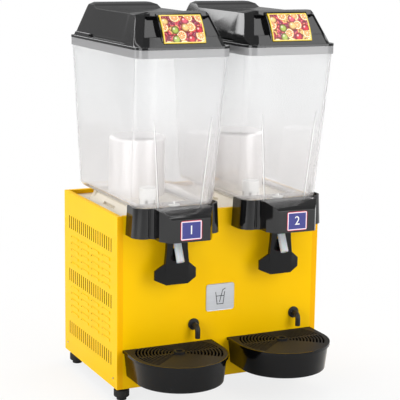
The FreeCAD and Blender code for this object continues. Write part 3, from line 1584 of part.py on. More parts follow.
def make_tray(side, sign):
    half, straight, wall = s.tray_width / 2, s.tray_straight, s.tray_wall
    low, high = s.tray_bottom, s.tray_bottom + s.tray_height
    rim_low = high - s.tray_rim_height
    step, draft = s.tray_rim_step, s.tray_draft
    outer = d_shape(side + "_tray_outer", half - step, straight, 0, low, rim_low, draft)
    rim = d_shape(side + "_tray_rim", half, straight, 0, rim_low, high)
    ledge = high - s.grid_thickness
    inner = d_shape(side + "_tray_inner", half - step - wall, straight, -wall, low + wall, high, draft)
    seat_half = half - s.grid_rim
    recess = d_shape(side + "_tray_recess", seat_half, straight, -wall / 2, ledge, high + 1)
    shell = cut(side + "_tray_shell", fuse(side + "_tray_solid", outer, rim), inner, recess)
    sleeves, holes = [], []
    gap = s.bracket_clearance
    for flank in (-1, 1):
        middle = sided(flank, s.bracket_spacing / 2)
        wide = s.bracket_width / 2 + gap
        z = (s.bracket_z - gap, s.bracket_z + s.bracket_thickness + gap)
        skin = s.sleeve_wall
        deep = s.bracket_length + gap
        sleeves.append(box(f"{side}_sleeve_{flank}", (middle - wide - skin, middle + wide + skin),
                           (-deep - skin, -wall / 2), (z[0] - skin, z[1] + skin)))
        holes.append(box(f"{side}_sleeve_hole_{flank}", (middle - wide, middle + wide), (-deep, 1), z))
    tray = cut(side + "_tray", fuse(side + "_tray_full", shell, *sleeves), *holes)
    finish(side + "_drip_tray", tray, x=sided(sign, s.tank_offset))


def make_grid(side, sign):
    """A D-shaped plate with arc slots round a raised hub, spokes, and a plain front sector."""
    high = s.tray_bottom + s.tray_height
    low = high - s.grid_thickness
    half = s.tray_width / 2 - s.grid_rim - s.grid_clearance
    straight = s.tray_straight
    back = -s.tray_wall / 2 - s.grid_clearance
    centre = (0, -straight)
    plate = d_shape(side + "_grid_plate", half, straight, back, low, high)
    rings = []
    for number in range(int(float(s.grid_slots))):
        inside = s.grid_first_slot + s.grid_slot_pitch * number
        rings.append(cut(
            f"{side}_arc_{number}",
            cylinder(f"{side}_arc_outer_{number}", inside + s.grid_slot_width, "z", centre,
                     (low - 1, high + 1)),
            cylinder(f"{side}_arc_inner_{number}", inside, "z", centre, (low - 2, high + 2))))
    border = s.grid_border
    field = d_shape(side + "_slot_field", half - border, straight, back - border, low - 3, high + 3)
    spoke = box(side + "_spoke", (-half, half),
                (-straight - s.grid_spoke / 2, s.grid_spoke / 2 - straight), (low - 4, high + 4))
    reach = half * 2.5
    angle = math.radians(float(s.grid_front_sector))
    wide = reach * math.tan(angle)
    wedge = polygon_loft(side + "_plain_front",
                         (low - 4, [(0, -straight), (wide, -straight - reach), (-wide, -straight - reach)]),
                         (high + 4, [(0, -straight), (wide, -straight - reach), (-wide, -straight - reach)]))
    open_field = cut(side + "_open_field", field, spoke, wedge)
    slots = common(side + "_slots", group(side + "_arcs", *rings), open_field)
    ring = cylinder(side + "_hub_ring", s.hub_ring_radius, "z", centre, (low, high + s.hub_ring_height))
    hole = cylinder(side + "_hub_hole", s.hub_hole_radius, "z", centre,
                    (low - 1, high + s.hub_ring_height + 1))
    finish(side + "_drip_grid",
           cut(side + "_grid", fuse(side + "_grid_solid", plate, ring), slots, hole),
           x=sided(sign, s.tank_offset))


def make_brackets():
    brackets = []
    for side, sign in SIDES:
        for flank in (-1, 1):
            middle = sided(sign, s.tank_offset) + sided(flank, s.bracket_spacing / 2)
            brackets.append(box(f"{side}_bracket_{flank}",
                                (middle - s.bracket_width / 2, middle + s.bracket_width / 2),
                                (-s.bracket_length, Size("0", 0)),
                                (s.bracket_z, s.bracket_z + s.bracket_thickness)))
    finish("tray_brackets", group("brackets_group", *brackets))


# Tubes that follow a route


def tube_solid(points, radius, bend):
    """A round bar along straight runs joined by tangent arcs of one radius."""
    points = [FreeCAD.Vector(*(float(value) for value in point)) for point in points]
    radius, bend = float(radius), float(bend)
    edges, start = [], points[0]
    for index in range(1, len(points) - 1):
        corner = points[index]
        before = (points[index - 1] - corner).normalize()
        after = (points[index + 1] - corner).normalize()
        half_turn = before.getAngle(after) / 2
        away = bend / math.tan(half_turn)
        first, last = corner + before * away, corner + after * away
        middle_way = (before + after).normalize()
        middle = corner + middle_way * (bend / math.sin(half_turn) - bend)
        edges.append(Part.LineSegment(start, first).toShape())
        edges.append(Part.Arc(first, middle, last).toShape())
        start = last
    edges.append(Part.LineSegment(start, points[-1]).toShape())
    way = points[1] - points[0]
    profile = Part.Wire(Part.makeCircle(radius, points[0], way))
    return Part.Wire(edges).makePipeShell([profile], True, False)


def tube(name, points, radius, bend):
    item = doc.addObject("Part::Feature", name)
    item.Shape = tube_solid(points, radius, bend)
    return item


def make_drains():
    elbows, hoses = [], []
    for side, sign in SIDES:
        x = sided(sign, s.tank_offset) + s.drain_x
        z, reach = s.drain_z, s.drain_reach
        route = [(x, s.drain_spigot, z), (x, -reach, z), (x, -reach, z - s.drain_drop)]
        pipe = tube(side + "_elbow_tube", route, s.drain_tube_radius, s.drain_bend)
        flange = cylinder(side + "_elbow_flange", s.drain_flange_radius, "y", (x, z),
                          (-s.drain_flange_thickness, Size("0", 0)))
        bore_route = [(x, s.drain_spigot + 1, z), (x, -reach, z), (x, -reach, z - s.drain_drop - 1)]
        bore = tube(side + "_elbow_bore", bore_route, s.drain_bore, s.drain_bend)
        elbows.append(cut(side + "_elbow", fuse(side + "_elbow_solid", pipe, flange), bore))
        top = plate_top - s.plate_thickness
        hose_route = [(x, s.drain_spigot, z), (x, s.hose_y, z), (x, s.hose_y, top)]
        hoses.append(tube(side + "_hose", hose_route, s.hose_radius, s.hose_bend))
    finish("drain_elbows", group("elbows_group", *elbows))
    finish("drain_hoses", group("hoses_group", *hoses))


def make_badge():
    body = new_body("badge")
    plate = body_sketch(body, "badge_outline", "XZ", Size("0", 0))
    draw_rounded(plate, (-s.badge_width / 2, s.badge_width / 2),
                 (s.badge_z - s.badge_height / 2, s.badge_z + s.badge_height / 2),
                 [s.badge_corner] * 4)
    pad(body, plate, s.badge_thickness)
    finish("badge", body)


# Controls on the back


def make_controls():
    back = s.cabinet_depth
    inside = back - s.panel_sheet
    z = s.controls_z
    half = s.control_box_width / 2
    wall = s.control_box_wall
    tall = s.control_box_height / 2
    outer = box("control_outer", (-half, half), (inside - s.control_box_depth, inside),
                (z - tall, z + tall))
    inner = box("control_inner", (wall - half, half - wall),
                (inside - s.control_box_depth + wall, inside + 1), (z - tall + wall, z + tall - wall))
    finish("control_box", cut("control", outer, inner))

    for side, sign in SIDES:
        x = sided(sign, s.knob_spacing / 2)
        start = back + s.knob_gap
        end = start + s.knob_reach
        skirt = cylinder(side + "_knob_skirt", s.knob_skirt_radius, "y", (0, 0),
                         (start, start + s.knob_skirt_height))
        grip = cylinder(side + "_knob_grip", s.knob_radius, "y", (0, 0), (start, end))
        shaft = cylinder(side + "_knob_shaft", s.knob_shaft_radius, "y", (0, 0),
                         (inside - s.control_box_depth / 2, start + 1))
        rib = box(side + "_knob_rib", (-s.knob_radius / 8, s.knob_radius / 8),
                  (end - s.knob_reach / 2, end), (Size("0", 0), s.knob_skirt_radius))
        finish(side + "_thermostat_knob", fuse(side + "_knob", skirt, grip, shaft, rib),
               x=x, z=s.foot_height + z)

    frames = []
    for name, x in switch_places():
        wide, high = s.switch_frame_width / 2, s.switch_frame_height / 2
        bezel = box(name + "_bezel", (x - wide, x + wide), (back, back + s.switch_frame_thickness),
                    (z - high, z + high))
        wide, high = s.switch_body_width / 2, s.switch_body_height / 2
        core = box(name + "_core", (x - wide, x + wide), (back - s.switch_body_depth, back + 1),
                   (z - high, z + high))
        swing = swing_radius() + s.rocker_clearance
        wide = s.rocker_width / 2 + s.rocker_clearance
        well = box(name + "_well", (x - wide, x + wide),
                   (back - s.switch_body_depth + wall, back + s.switch_frame_thickness + 1),
                   (z - swing, z + swing))
        frames.append(cut(name + "_frame", fuse(name + "_frame_solid", bezel, core), well))

        depth, tall = s.rocker_depth, s.rocker_height / 2
        rocker = box(name + "_rocker", (-s.rocker_width / 2, s.rocker_width / 2),
                     (-depth / 2, depth / 2), (-tall, tall))
        tilted = copy_at(name + "_tilted", rocker, turn=float(s.rocker_tilt),
                         about=FreeCAD.Vector(1, 0, 0))
        tilted.setExpression("Placement.Rotation.Angle", s.rocker_tilt.formula)
        finish(name, fuse(name + "_fused", tilted, box(
            name + "_core_bar", (-s.rocker_width / 2, s.rocker_width / 2),
            (-depth / 4, depth / 4), (-depth / 4, depth / 4))),
            x=x, y=front_face + rocker_axis_y(), z=s.foot_height + z)
    finish("switch_frames", group("frames_group", *frames))


def swing_radius():
    """How far the rocker's corners reach up and down as it tips."""
    half_depth, half_height = float(s.rocker_depth) / 2, float(s.rocker_height) / 2
    tilt = math.radians(float(s.rocker_tilt))
    reach = half_height * math.cos(tilt) + half_depth * math.sin(tilt)
    return s.rocker_height / 2 + (reach - half_height)


def rocker_axis_y():
    return s.cabinet_depth + s.rocker_proud - s.rocker_depth / 2


def make_inlet():
    back = s.cabinet_depth
    x, z = s.inlet_x, s.inlet_z
    wide, tall = s.inlet_width / 2, s.inlet_height / 2
    rim = s.inlet_flange
    flange = box("inlet_flange_plate", (x - wide - rim, x + wide + rim),
                 (back, back + s.inlet_flange_thickness), (z - tall - rim, z + tall + rim))
    shell = box("inlet_shell", (x - wide, x + wide), (back - s.inlet_depth, back + 1),
                (z - tall, z + tall))
    wall = s.inlet_wall
    well = box("inlet_well", (x - wide + wall, x + wide - wall),
               (back - s.inlet_depth + wall, back + s.inlet_flange_thickness + 1),
               (z - tall + wall, z + tall - wall))
    socket = cut("inlet_socket", fuse("inlet_solid", flange, shell), well)
    pins = []
    start = back - s.inlet_depth + wall - 1
    for number, shift in enumerate((-s.inlet_pin_spacing, Size("0", 0), s.inlet_pin_spacing)):
        lift = s.inlet_pin_height if number == 1 else -s.inlet_pin_height
        pins.append(box(f"inlet_pin_{number}",
                        (x + shift - s.inlet_pin_height / 2, x + shift + s.inlet_pin_height / 2),
                        (start, start + s.inlet_pin_length),
                        (z + lift - s.inlet_pin_width / 2, z + lift + s.inlet_pin_width / 2)))
    finish("mains_inlet", fuse("inlet", socket, *pins))


# Cooling machinery


def make_compressor():
    x, y = s.compressor_x, s.compressor_y
    low, high = s.compressor_bottom, s.compressor_bottom + s.compressor_height
    can = round_edges("compressor_can",
                      cylinder("compressor_core", s.compressor_radius, "z", (x, y), (low, high)),
                      lambda edge: edge.Curve.TypeId == "Part::GeomCircle", s.compressor_round)
    wide, deep = s.compressor_plate_width / 2, s.compressor_plate_depth / 2
    plate = box("compressor_plate", (x - wide, x + wide), (y - deep, y + deep),
                (low - s.compressor_plate_thickness, low + 1))
    grommets = []
    inset = s.grommet_inset
    for sign_x in (-1, 1):
        for sign_y in (-1, 1):
            place = (x + sided(sign_x, wide - inset), y + sided(sign_y, deep - inset))
            grommets.append(cylinder(f"grommet_{sign_x}_{sign_y}", s.grommet_radius, "z", place,
                                     (s.pan_sheet, low - s.compressor_plate_thickness + 1)))
    finish("compressor", fuse("compressor_solid", can, plate, *grommets))


def condenser_middle():
    return s.condenser_front + s.condenser_length / 2, s.pan_sheet + s.condenser_height / 2


def make_condenser():
    """Two end plates on the base pan, tubes between them, and a stack of fins on the tubes."""
    x = (s.condenser_x, s.condenser_x + s.condenser_thickness)
    front, length = s.condenser_front, s.condenser_length
    low, high = s.pan_sheet, s.pan_sheet + s.condenser_height
    pieces = [box("condenser_front_end", x, (front, front + s.condenser_end), (low, high)),
              box("condenser_back_end", x, (front + length - s.condenser_end, front + length), (low, high))]
    count = int(float(s.fin_count))
    pitch = (length - s.condenser_end * 2) / (s.fin_count + 1)
    for number in range(1, count + 1):
        y = front + s.condenser_end + pitch * number
        pieces.append(box(f"fin_{number}", x, (y - s.fin_sheet / 2, y + s.fin_sheet / 2),
                          (low + s.condenser_tube_radius, high - s.condenser_tube_radius)))
    tube_count = int(float(s.condenser_tubes))
    for number in range(tube_count):
        z = low + s.condenser_height / s.condenser_tubes * (number + 0.5)
        middle = s.condenser_x + s.condenser_thickness / 2
        pieces.append(cylinder(f"condenser_tube_{number}", s.condenser_tube_radius, "y", (middle, z),
                               (front - s.condenser_tube_radius, front + length + s.condenser_tube_radius)))
    finish("condenser", fuse("condenser_solid", *pieces))


def make_fan():
    y, z = condenser_middle()
    near = s.condenser_x - s.fan_gap - s.fan_thickness
    hub = cylinder("fan_hub", s.fan_hub_radius, "z", (0, 0), (0, s.fan_thickness))
    blades = []
    count = int(float(s.fan_blades))
    for number in range(count):
        blade = box(f"fan_blade_{number}", (s.fan_hub_radius - 2, s.fan_radius),
                    (-s.fan_blade_width / 2, s.fan_blade_width / 2),
                    (-s.fan_blade_sheet / 2, s.fan_blade_sheet / 2))
        pitched = copy_at(f"fan_blade_pitched_{number}", blade, turn=float(s.fan_blade_pitch),
                          about=FreeCAD.Vector(1, 0, 0), z=s.fan_thickness / 2)
        blades.append(copy_at(f"fan_blade_turned_{number}", pitched, turn=360 * number / count))
    swept = cylinder("fan_swept", s.fan_radius, "z", (0, 0), (-s.fan_thickness, s.fan_thickness * 2))
    rotor = common("fan_trimmed", fuse("fan_solid", hub, *blades), swept)
    bore = cylinder("fan_bore", s.fan_shaft_radius + s.shaft_clearance, "z", (0, 0),
                    (-1, s.fan_thickness * 0.8))
    upright = cut("fan_rotor", rotor, bore)
    fan = copy_at("fan_turned", upright, turn=90, about=FreeCAD.Vector(0, 1, 0))
    finish("fan", group("fan_placed", fan), x=near, y=front_face + y, z=s.foot_height + z)

    motor_end = near - 4
    motor_start = motor_end - s.fan_motor_length
    can = cylinder("fan_motor_can", s.fan_motor_radius, "x", (y, z), (motor_start, motor_end))
    shaft = cylinder("fan_motor_shaft", s.fan_shaft_radius, "x", (y, z),
                     (motor_end - 1, near + s.fan_thickness * 0.7))
    finish("fan_motor", fuse("fan_motor_solid", can, shaft))

    wide, sheet = s.fan_bracket_width / 2, s.fan_bracket_sheet
    stand = box("bracket_stand", (motor_start - sheet, motor_start), (y - wide, y + wide),
                (s.pan_sheet, z + wide))
    foot = box("bracket_foot", (motor_start - s.fan_bracket_foot, motor_start), (y - wide, y + wide),
               (s.pan_sheet, s.pan_sheet + sheet))
    finish("fan_bracket", fuse("fan_bracket_solid", stand, foot))


def make_pipes():
    """The refrigerant's round: compressor, condenser, drier, right coil, left coil and back."""
    radius, bend, level = s.pipe_radius, s.pipe_bend, s.pipe_level
    top = s.compressor_bottom + s.compressor_height
    x, y = s.compressor_x, s.compressor_y
    condenser_top = s.pan_sheet + s.condenser_height
    middle = s.condenser_x + s.condenser_thickness / 2
    near = s.condenser_front + s.condenser_end / 2
    far = s.condenser_front + s.condenser_length - s.condenser_end / 2
    leg, row = s.coil_leg_spacing, s.evaporator_y
    left, right = -s.tank_offset, s.tank_offset
    end = s.coil_leg_end
    link = end - s.link_drop
    pipes = [
        tube("discharge_pipe",
             [(x + s.pipe_spread, y, top), (x + s.pipe_spread, y, level), (x + s.pipe_spread, far, level),
              (middle, far, level), (middle, far, condenser_top)], radius, bend),
        tube("suction_pipe",
             [(x - s.pipe_spread, y, top), (x - s.pipe_spread, y, level),
              (left - leg, row, link), (left - leg, row, end)], radius, bend / 2),
        tube("link_pipe",
             [(left + leg, row, end), (left + leg, row, link), (left + leg, row + s.link_reach, link),
              (right + leg, row + s.link_reach, link), (right + leg, row, link),
              (right + leg, row, end)], radius, bend / 2),
    ]
    liquid = tube("liquid_pipe",
                  [(middle, near, condenser_top), (middle, near, level), (right - leg, near, level),
                   (right - leg, row, level), (right - leg, row, end)], radius, bend)
    halfway = (middle + right - leg) / 2
    drier = cylinder("drier", s.drier_radius, "x", (near, level),
                     (halfway - s.drier_length / 2, halfway + s.drier_length / 2))
    pipes.append(fuse("liquid_line", liquid, drier))
    finish("refrigerant_pipes", group("pipes_group", *pipes))


def check_document():
    """Stops if an object failed, if a cut took nothing away, or if a sub-part isn't sound."""
    for item in doc.Objects:
        for state in item.State:
            if state in ("Invalid", "Error"):
                raise RuntimeError(f"{item.Name} failed")
    for before, after in removals:
        if not after.Shape.Volume < before.Shape.Volume:
            raise RuntimeError(f"{after.Name} removed nothing")
    for node, item in sub_parts.items():
        if item.Shape.isNull() or not item.Shape.isValid() or not item.Shape.Solids:
            raise RuntimeError(f"{node} has no valid solid")


make_base_pan()
make_feet()
make_corner_posts()
make_front_panel()
make_back_panel()
make_panel_screws()
make_top_plate()
make_gaskets()
make_evaporators()
make_pumps()
make_brackets()
make_drains()
make_badge()
make_controls()
make_inlet()
make_compressor()
make_condenser()
make_fan()
make_pipes()
for side, sign in SIDES:
    make_side_panel(side, sign)
    make_tank(side, sign)
    make_lid(side, sign)
    make_tap_cover(side, sign)
    make_lever(side, sign)
    make_valve(side, sign)
    make_spout(side, sign)
    make_spring(side, sign)
    make_tray(side, sign)
    make_grid(side, sign)

doc.recompute()
check_document()
os.makedirs("parts", exist_ok=True)
for node, item in sub_parts.items():
    item.Shape.exportStep(f"parts/{node}.step")
print(len(sub_parts), "sub-parts written")
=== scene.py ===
# %% [markdown]
# # A cold drink dispenser with two tanks
# The machine cools fruit drinks and keeps them moving. Its solids come from a CAD model, and
# this lesson dresses them: soft edges, moulded details, prints and finishes. All lengths are
# in metres, and every piece is made at its own place, so nothing is fitted afterwards.

# %% The frame
import json
from math import cos, pi, radians, sin

import bmesh
import bpy
from mathutils import Matrix, Vector

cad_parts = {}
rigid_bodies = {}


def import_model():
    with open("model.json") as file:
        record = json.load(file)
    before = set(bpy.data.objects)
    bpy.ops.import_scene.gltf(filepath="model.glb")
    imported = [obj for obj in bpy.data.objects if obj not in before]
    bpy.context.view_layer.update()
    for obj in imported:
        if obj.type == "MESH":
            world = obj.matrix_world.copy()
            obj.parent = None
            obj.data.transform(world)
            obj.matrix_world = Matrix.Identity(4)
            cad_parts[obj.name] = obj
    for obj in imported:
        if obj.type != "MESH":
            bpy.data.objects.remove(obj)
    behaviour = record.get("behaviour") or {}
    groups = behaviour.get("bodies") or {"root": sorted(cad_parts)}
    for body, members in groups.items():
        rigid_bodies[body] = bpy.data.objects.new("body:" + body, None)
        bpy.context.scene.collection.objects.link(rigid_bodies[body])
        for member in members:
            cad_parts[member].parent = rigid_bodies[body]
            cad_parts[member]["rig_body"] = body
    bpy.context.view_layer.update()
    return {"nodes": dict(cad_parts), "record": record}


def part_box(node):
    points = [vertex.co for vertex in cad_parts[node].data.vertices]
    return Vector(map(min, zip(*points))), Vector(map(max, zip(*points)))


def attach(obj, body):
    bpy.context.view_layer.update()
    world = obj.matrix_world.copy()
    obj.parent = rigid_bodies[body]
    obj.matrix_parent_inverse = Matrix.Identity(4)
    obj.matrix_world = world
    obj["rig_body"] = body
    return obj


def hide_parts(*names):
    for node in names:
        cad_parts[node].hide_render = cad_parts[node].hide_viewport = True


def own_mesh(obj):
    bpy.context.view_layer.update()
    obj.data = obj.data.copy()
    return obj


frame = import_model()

nodes = frame["nodes"]
SIDES = ("left", "right")

# %% [markdown]
# ## The camera
# The photograph was taken with a long lens from the front left, a little above the taps. A
# long lens keeps upright edges nearly parallel. The camera is aimed by its own three axes
# instead of by a constraint, so the slight roll of the picture can be turned in.

# %% The camera
LENS, SENSOR, ROLL = 119.785, 36.0, radians(0.819)
stand = Vector((-1.03798, -2.15540, 0.81404))
target = Vector((-0.042586, -0.07265, 0.356214))

backward = (stand - target).normalized()
level = Vector((0, 0, 1)).cross(backward).normalized()
upward = backward.cross(level)
right_axis = cos(ROLL) * level + sin(ROLL) * upward
up_axis = cos(ROLL) * upward - sin(ROLL) * level
pose = Matrix((right_axis, up_axis, backward)).transposed().to_4x4()
pose.translation = stand

lens = bpy.data.cameras.new("camera")
lens.lens, lens.sensor_width = LENS, SENSOR
camera = bpy.data.objects.new("camera", lens)
camera.matrix_world = pose
bpy.context.scene.collection.objects.link(camera)
bpy.context.scene.camera = camera
bpy.context.scene.view_settings.view_transform = "Standard"
print("The camera stands", round((stand - target).length, 3), "m away")

# %% [markdown]
# ## Shader maths as plain expressions
# A finish is a recipe: a noise, a threshold, a mix. Wired by hand that is a page of boxes. Here
# one small class wraps a socket and adds a Math node for each operator, so a recipe reads like
# a formula.

# %% A socket that can be calculated with
class Wire:
    """One output of a finish. Arithmetic on it adds Math nodes."""

    def __init__(self, finish, socket):
        self.finish, self.socket = finish, socket

    def maths(self, operation, *values):
        return self.finish.add("ShaderNodeMath", {"operation": operation}, dict(enumerate(values)))

    def __add__(self, other): return self.maths("ADD", self, other)
    def __radd__(self, other): return self.maths("ADD", other, self)
    def __sub__(self, other): return self.maths("SUBTRACT", self, other)
    def __rsub__(self, other): return self.maths("SUBTRACT", other, self)
    def __mul__(self, other): return self.maths("MULTIPLY", self, other)
    def __rmul__(self, other): return self.maths("MULTIPLY", other, self)
    def __truediv__(self, other): return self.maths("DIVIDE", self, other)
    def __rtruediv__(self, other): return self.maths("DIVIDE", other, self)
    def __pow__(self, other): return self.maths("POWER", self, other)
    def __lt__(self, other): return self.maths("LESS_THAN", self, other)
    def __gt__(self, other): return self.maths("GREATER_THAN", self, other)
    def __abs__(self): return self.maths("ABSOLUTE", self)

    def wave(self): return self.maths("SINE", self)
    def angle(self, other): return self.maths("ARCTAN2", self, other)
    def at_most(self, other): return self.maths("MINIMUM", self, other)
    def at_least(self, other): return self.maths("MAXIMUM", self, other)

    def between(self, low, high):
        """A soft step: 0 below low, 1 above high."""
        return self.finish.add("ShaderNodeMapRange", {"interpolation_type": "SMOOTHSTEP"},
                               {"Value": self, "From Min": low, "From Max": high})


# %% [markdown]
# A finish ends in a Principled shader, or in a mix of that with another shader. What is the
# same all over is written on its sockets, and only what changes over the surface comes through
# a wire. One method makes every other node from its type, its settings and its sockets.

# %% A finish
class Finish:
    """A procedural material."""

    def __init__(self, name, **constants):
        self.material = bpy.data.materials.new(name)
        self.material.use_nodes = True
        self.tree = self.material.node_tree
        self.tree.nodes.clear()
        self.shader = self.tree.nodes.new("ShaderNodeBsdfPrincipled")
        self.output = self.tree.nodes.new("ShaderNodeOutputMaterial")
        self.end(self.coat())
        for key, value in constants.items():
            self.shader.inputs[key.replace("_", " ")].default_value = value

    def coat(self):
        """The Principled shader, as a wire that can be mixed."""
        return Wire(self, self.shader.outputs[0])

    def end(self, shader):
        """Makes a shader the one that is seen."""
        self.tree.links.new(shader.socket, self.output.inputs[0])

    def add(self, kind, settings=None, sockets=None, out=0):
        node = self.tree.nodes.new(kind)
        for key, value in (settings or {}).items():
            if key == "stops":
                ramp = node.color_ramp.elements
                while len(ramp) < len(value):
                    ramp.new(0.5)
                for stop, (place, colour) in zip(ramp, value):
                    stop.position, stop.color = place, colour
            elif key == "interpolation":
                node.color_ramp.interpolation = value
            else:
                setattr(node, key, value)
        for key, value in (sockets or {}).items():
            if isinstance(value, Wire):
                self.tree.links.new(value.socket, node.inputs[key])
            else:
                node.inputs[key].default_value = value
        return Wire(self, node.outputs[out])

    def give(self, **wires):
        """Links wires to the Principled shader's own sockets."""
        for key, wire in wires.items():
            self.tree.links.new(wire.socket, self.shader.inputs[key.replace("_", " ")])
        return self.material

    def place(self, stretch=(1, 1, 1), turn=(0, 0, 0)):
        """Object coordinates, turned and stretched."""
        return self.add("ShaderNodeMapping", None,
                        {"Vector": self.add("ShaderNodeTexCoord", out="Object"),
                         "Rotation": turn, "Scale": stretch})

    def parts(self, vector=None):
        """The X, Y and Z of a vector, by default of the place on the object."""
        vector = vector or self.add("ShaderNodeTexCoord", out="Object")
        split = self.add("ShaderNodeSeparateXYZ", None, {"Vector": vector}).socket.node
        return [Wire(self, socket) for socket in split.outputs]

    def noise(self, scale, detail=2.0, rough=0.5, at=None):
        return self.add("ShaderNodeTexNoise", None,
                        {"Vector": at or self.place(), "Scale": scale, "Detail": detail,
                         "Roughness": rough})

    def mix(self, share, first, second, how="MIX"):
        """A colour between two colours."""
        return self.add("ShaderNodeMix", {"data_type": "RGBA", "blend_type": how},
                        {0: share, 6: first, 7: second}, out=2)

    def blend(self, share, first, second):
        """A shader between two shaders."""
        return self.add("ShaderNodeMixShader", None, {0: share, 1: first, 2: second})

    def bump(self, height, distance, strength=1.0):
        return self.add("ShaderNodeBump", None,
                        {"Height": height, "Distance": distance, "Strength": strength})


def shade(red, green, blue):
    """A colour as it is read from a picture, 0 to 255, made linear."""
    def linear(v):
        v /= 255
        return v / 12.92 if v <= 0.04045 else ((v + 0.055) / 1.055) ** 2.4
    return (linear(red), linear(green), linear(blue), 1.0)


# %% [markdown]
# ## The finishes
# ** Yellow paint** covers the cabinet's sheet metal. Stoved enamel is glossy with a very fine
# orange peel, and its colour is a little uneven. Two noises give both, one broad for the colour
# and one fine for the bump. The inside of a side panel is painted a dark yellowish brown as
# painted shade, so that its slots and louvres read as dark marks. That shade begins a third of a
# millimetre below the outer skin, so a comparison on X is all it takes. The narrow folds at the
# front are painted a deeper orange tone, also as painted shade.

# %% Yellow paint
FRONT_FOLD = 0.011                  # width of a side panel's fold beside the front panel
SIDE_SKIN = max(abs(corner.x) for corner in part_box("front_panel")) + FRONT_FOLD
INNER_SHADE_DEPTH = 0.0003               # from the skin to the painted shade inside
UNSHADED_RIM = 0.0014                # yellow, without the painted shade, round a panel's open edges
FOLD_SHADE_INSET, FOLD_SHADE_DEPTH = 0.0012, 0.0008    # from the skin to the fold's painted shade, and its depth


def yellow_paint(name, inner_shade=False):
    f = Finish(name, Specular_IOR_Level=0.07)
    cloud = f.noise(7, 3)
    peel = f.noise(1100, 2)
    dust = f.noise(60, 5, 0.7).between(0.62, 0.8)
    colour = f.mix(cloud.between(0.3, 0.7), shade(255, 200, 0), shade(255, 204, 4))
    colour = f.mix(dust * 0.10, colour, shade(236, 190, 40))
    if inner_shade:
        # Painted shade: the inside of a side panel is a dark yellowish brown, so its slots and
        # louvres read dark.
        low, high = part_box("left_side_panel")
        x, y, z = f.parts()
        deep = abs(x) < SIDE_SKIN - INNER_SHADE_DEPTH
        inside = ((y > low.y + UNSHADED_RIM) * (y < high.y - UNSHADED_RIM)
                  * (z < high.z - UNSHADED_RIM))
        colour = f.mix(deep * inside, colour, shade(52, 46, 22))
        # Painted shade: the narrow fold beside the front panel is a deeper orange.
        fold_shade = (abs(x) < SIDE_SKIN - FOLD_SHADE_INSET) * (y < low.y + FOLD_SHADE_DEPTH)
        colour = f.mix(fold_shade * 0.8, colour, shade(250, 180, 0))
    return f.give(Base_Color=colour, Roughness=0.28 + 0.08 * cloud + 0.12 * dust,
                  Normal=f.bump(peel, 0.00012, 0.35))

# %% [markdown]
# **Black mouldings.** The lids, covers and trays come out of polished moulds. Their black is
# deep and glossy, with a faint haze of fine scratches: a noise that is squeezed along one
# direction until its grains are lines. Knobs and switches are a matt black with the fine grain
# of a spark-eroded mould, and rubber is the same with a coarser grain.

# %% Black plastics
def black_gloss(name, low=0.06, tone=14, gloss=0.58):
    f = Finish(name, Specular_IOR_Level=gloss)
    haze = f.noise(9, 4)
    scratch = f.noise(260, 3, 0.6, at=f.place(stretch=(1, 1, 0.06), turn=(0.3, 0.2, 0.5)))
    fleck = scratch.between(0.66, 0.74)
    colour = f.mix(haze, shade(tone, tone, tone + 1), shade(tone + 6, tone + 6, tone + 7))
    return f.give(Base_Color=f.mix(fleck * 0.2, colour, shade(48, 48, 50)),
                  Roughness=low + 0.05 * haze + 0.10 * fleck,
                  Normal=f.bump(haze + f.noise(420) * 0.08, 0.0004, 0.10))


def grained_black(name, grain, low, tone):
    f = Finish(name, Specular_IOR_Level=0.4)
    pits = f.noise(grain, 2)
    worn = f.noise(40, 4)
    colour = f.mix(worn, shade(tone, tone, tone), shade(tone + 12, tone + 12, tone + 11))
    return f.give(Base_Color=colour, Roughness=low + 0.14 * worn,
                  Normal=f.bump(pits, 0.00008, 0.6))

# %% [markdown]
# ** Clear plastic.** The tanks are moulded polycarbonate. Clean polycarbonate would be nearly
# invisible, but this one has the milky veil of a moulding that is washed every day. Glass alone
# can't show that, so a second shader, a pale satin film, is mixed over it. Its share grows in the
# lower half, where its colour is a darker, faintly warm grey as a painted reflection, and it
# covers the thick collar, which is almost opaque grey. Two sloping lines on the front face are the
# creases where its corners are drawn in. They are only a few tenths of a millimetre deep, so a
# shader paints each one as a dark line of painted shade with a light line of painted highlight
# beside it.
#
# Real light passes through such a wall and still lights what stands inside. A render would throw
# a black shadow there, so shadow rays see a thin grey film instead.

# %% Clear plastic
UNIT = 0.1025                       # from the middle of the machine to that of a tank
COLLAR_LOW, COLLAR_BLUR = 0.6141, 0.0003              # where the collar steps out
MILK_AND_REFLECTION_LOW, MILK_AND_REFLECTION_HIGH = 0.40, 0.56                      # where the veil thins and its painted reflection fades
CREASE_FOOT, CREASE_OUT, CREASE_SLOPE = 0.363, 0.0395, 0.088    # height, way out, lean
CREASE_FADE, CREASE_TOP = 0.46, 0.55                  # where a crease runs out
CREASE_SHADE_HALF = 0.0005                                    # half the width of its line of painted shade
HIGHLIGHT_SHIFT, HIGHLIGHT_HALF = 0.0014, 0.0009              # the line of painted highlight beside it
FRONT_FOOT, FRONT_SLOPE, FRONT_SKIN = -0.1177, -0.0715, 0.0012  # the leaning front face
VEIL, COLLAR_VEIL = 0.18, 0.84


def across_unit(f, x):
    """How far a point is from the middle of its own tank."""
    return x - UNIT + 2 * UNIT * (x < 0)


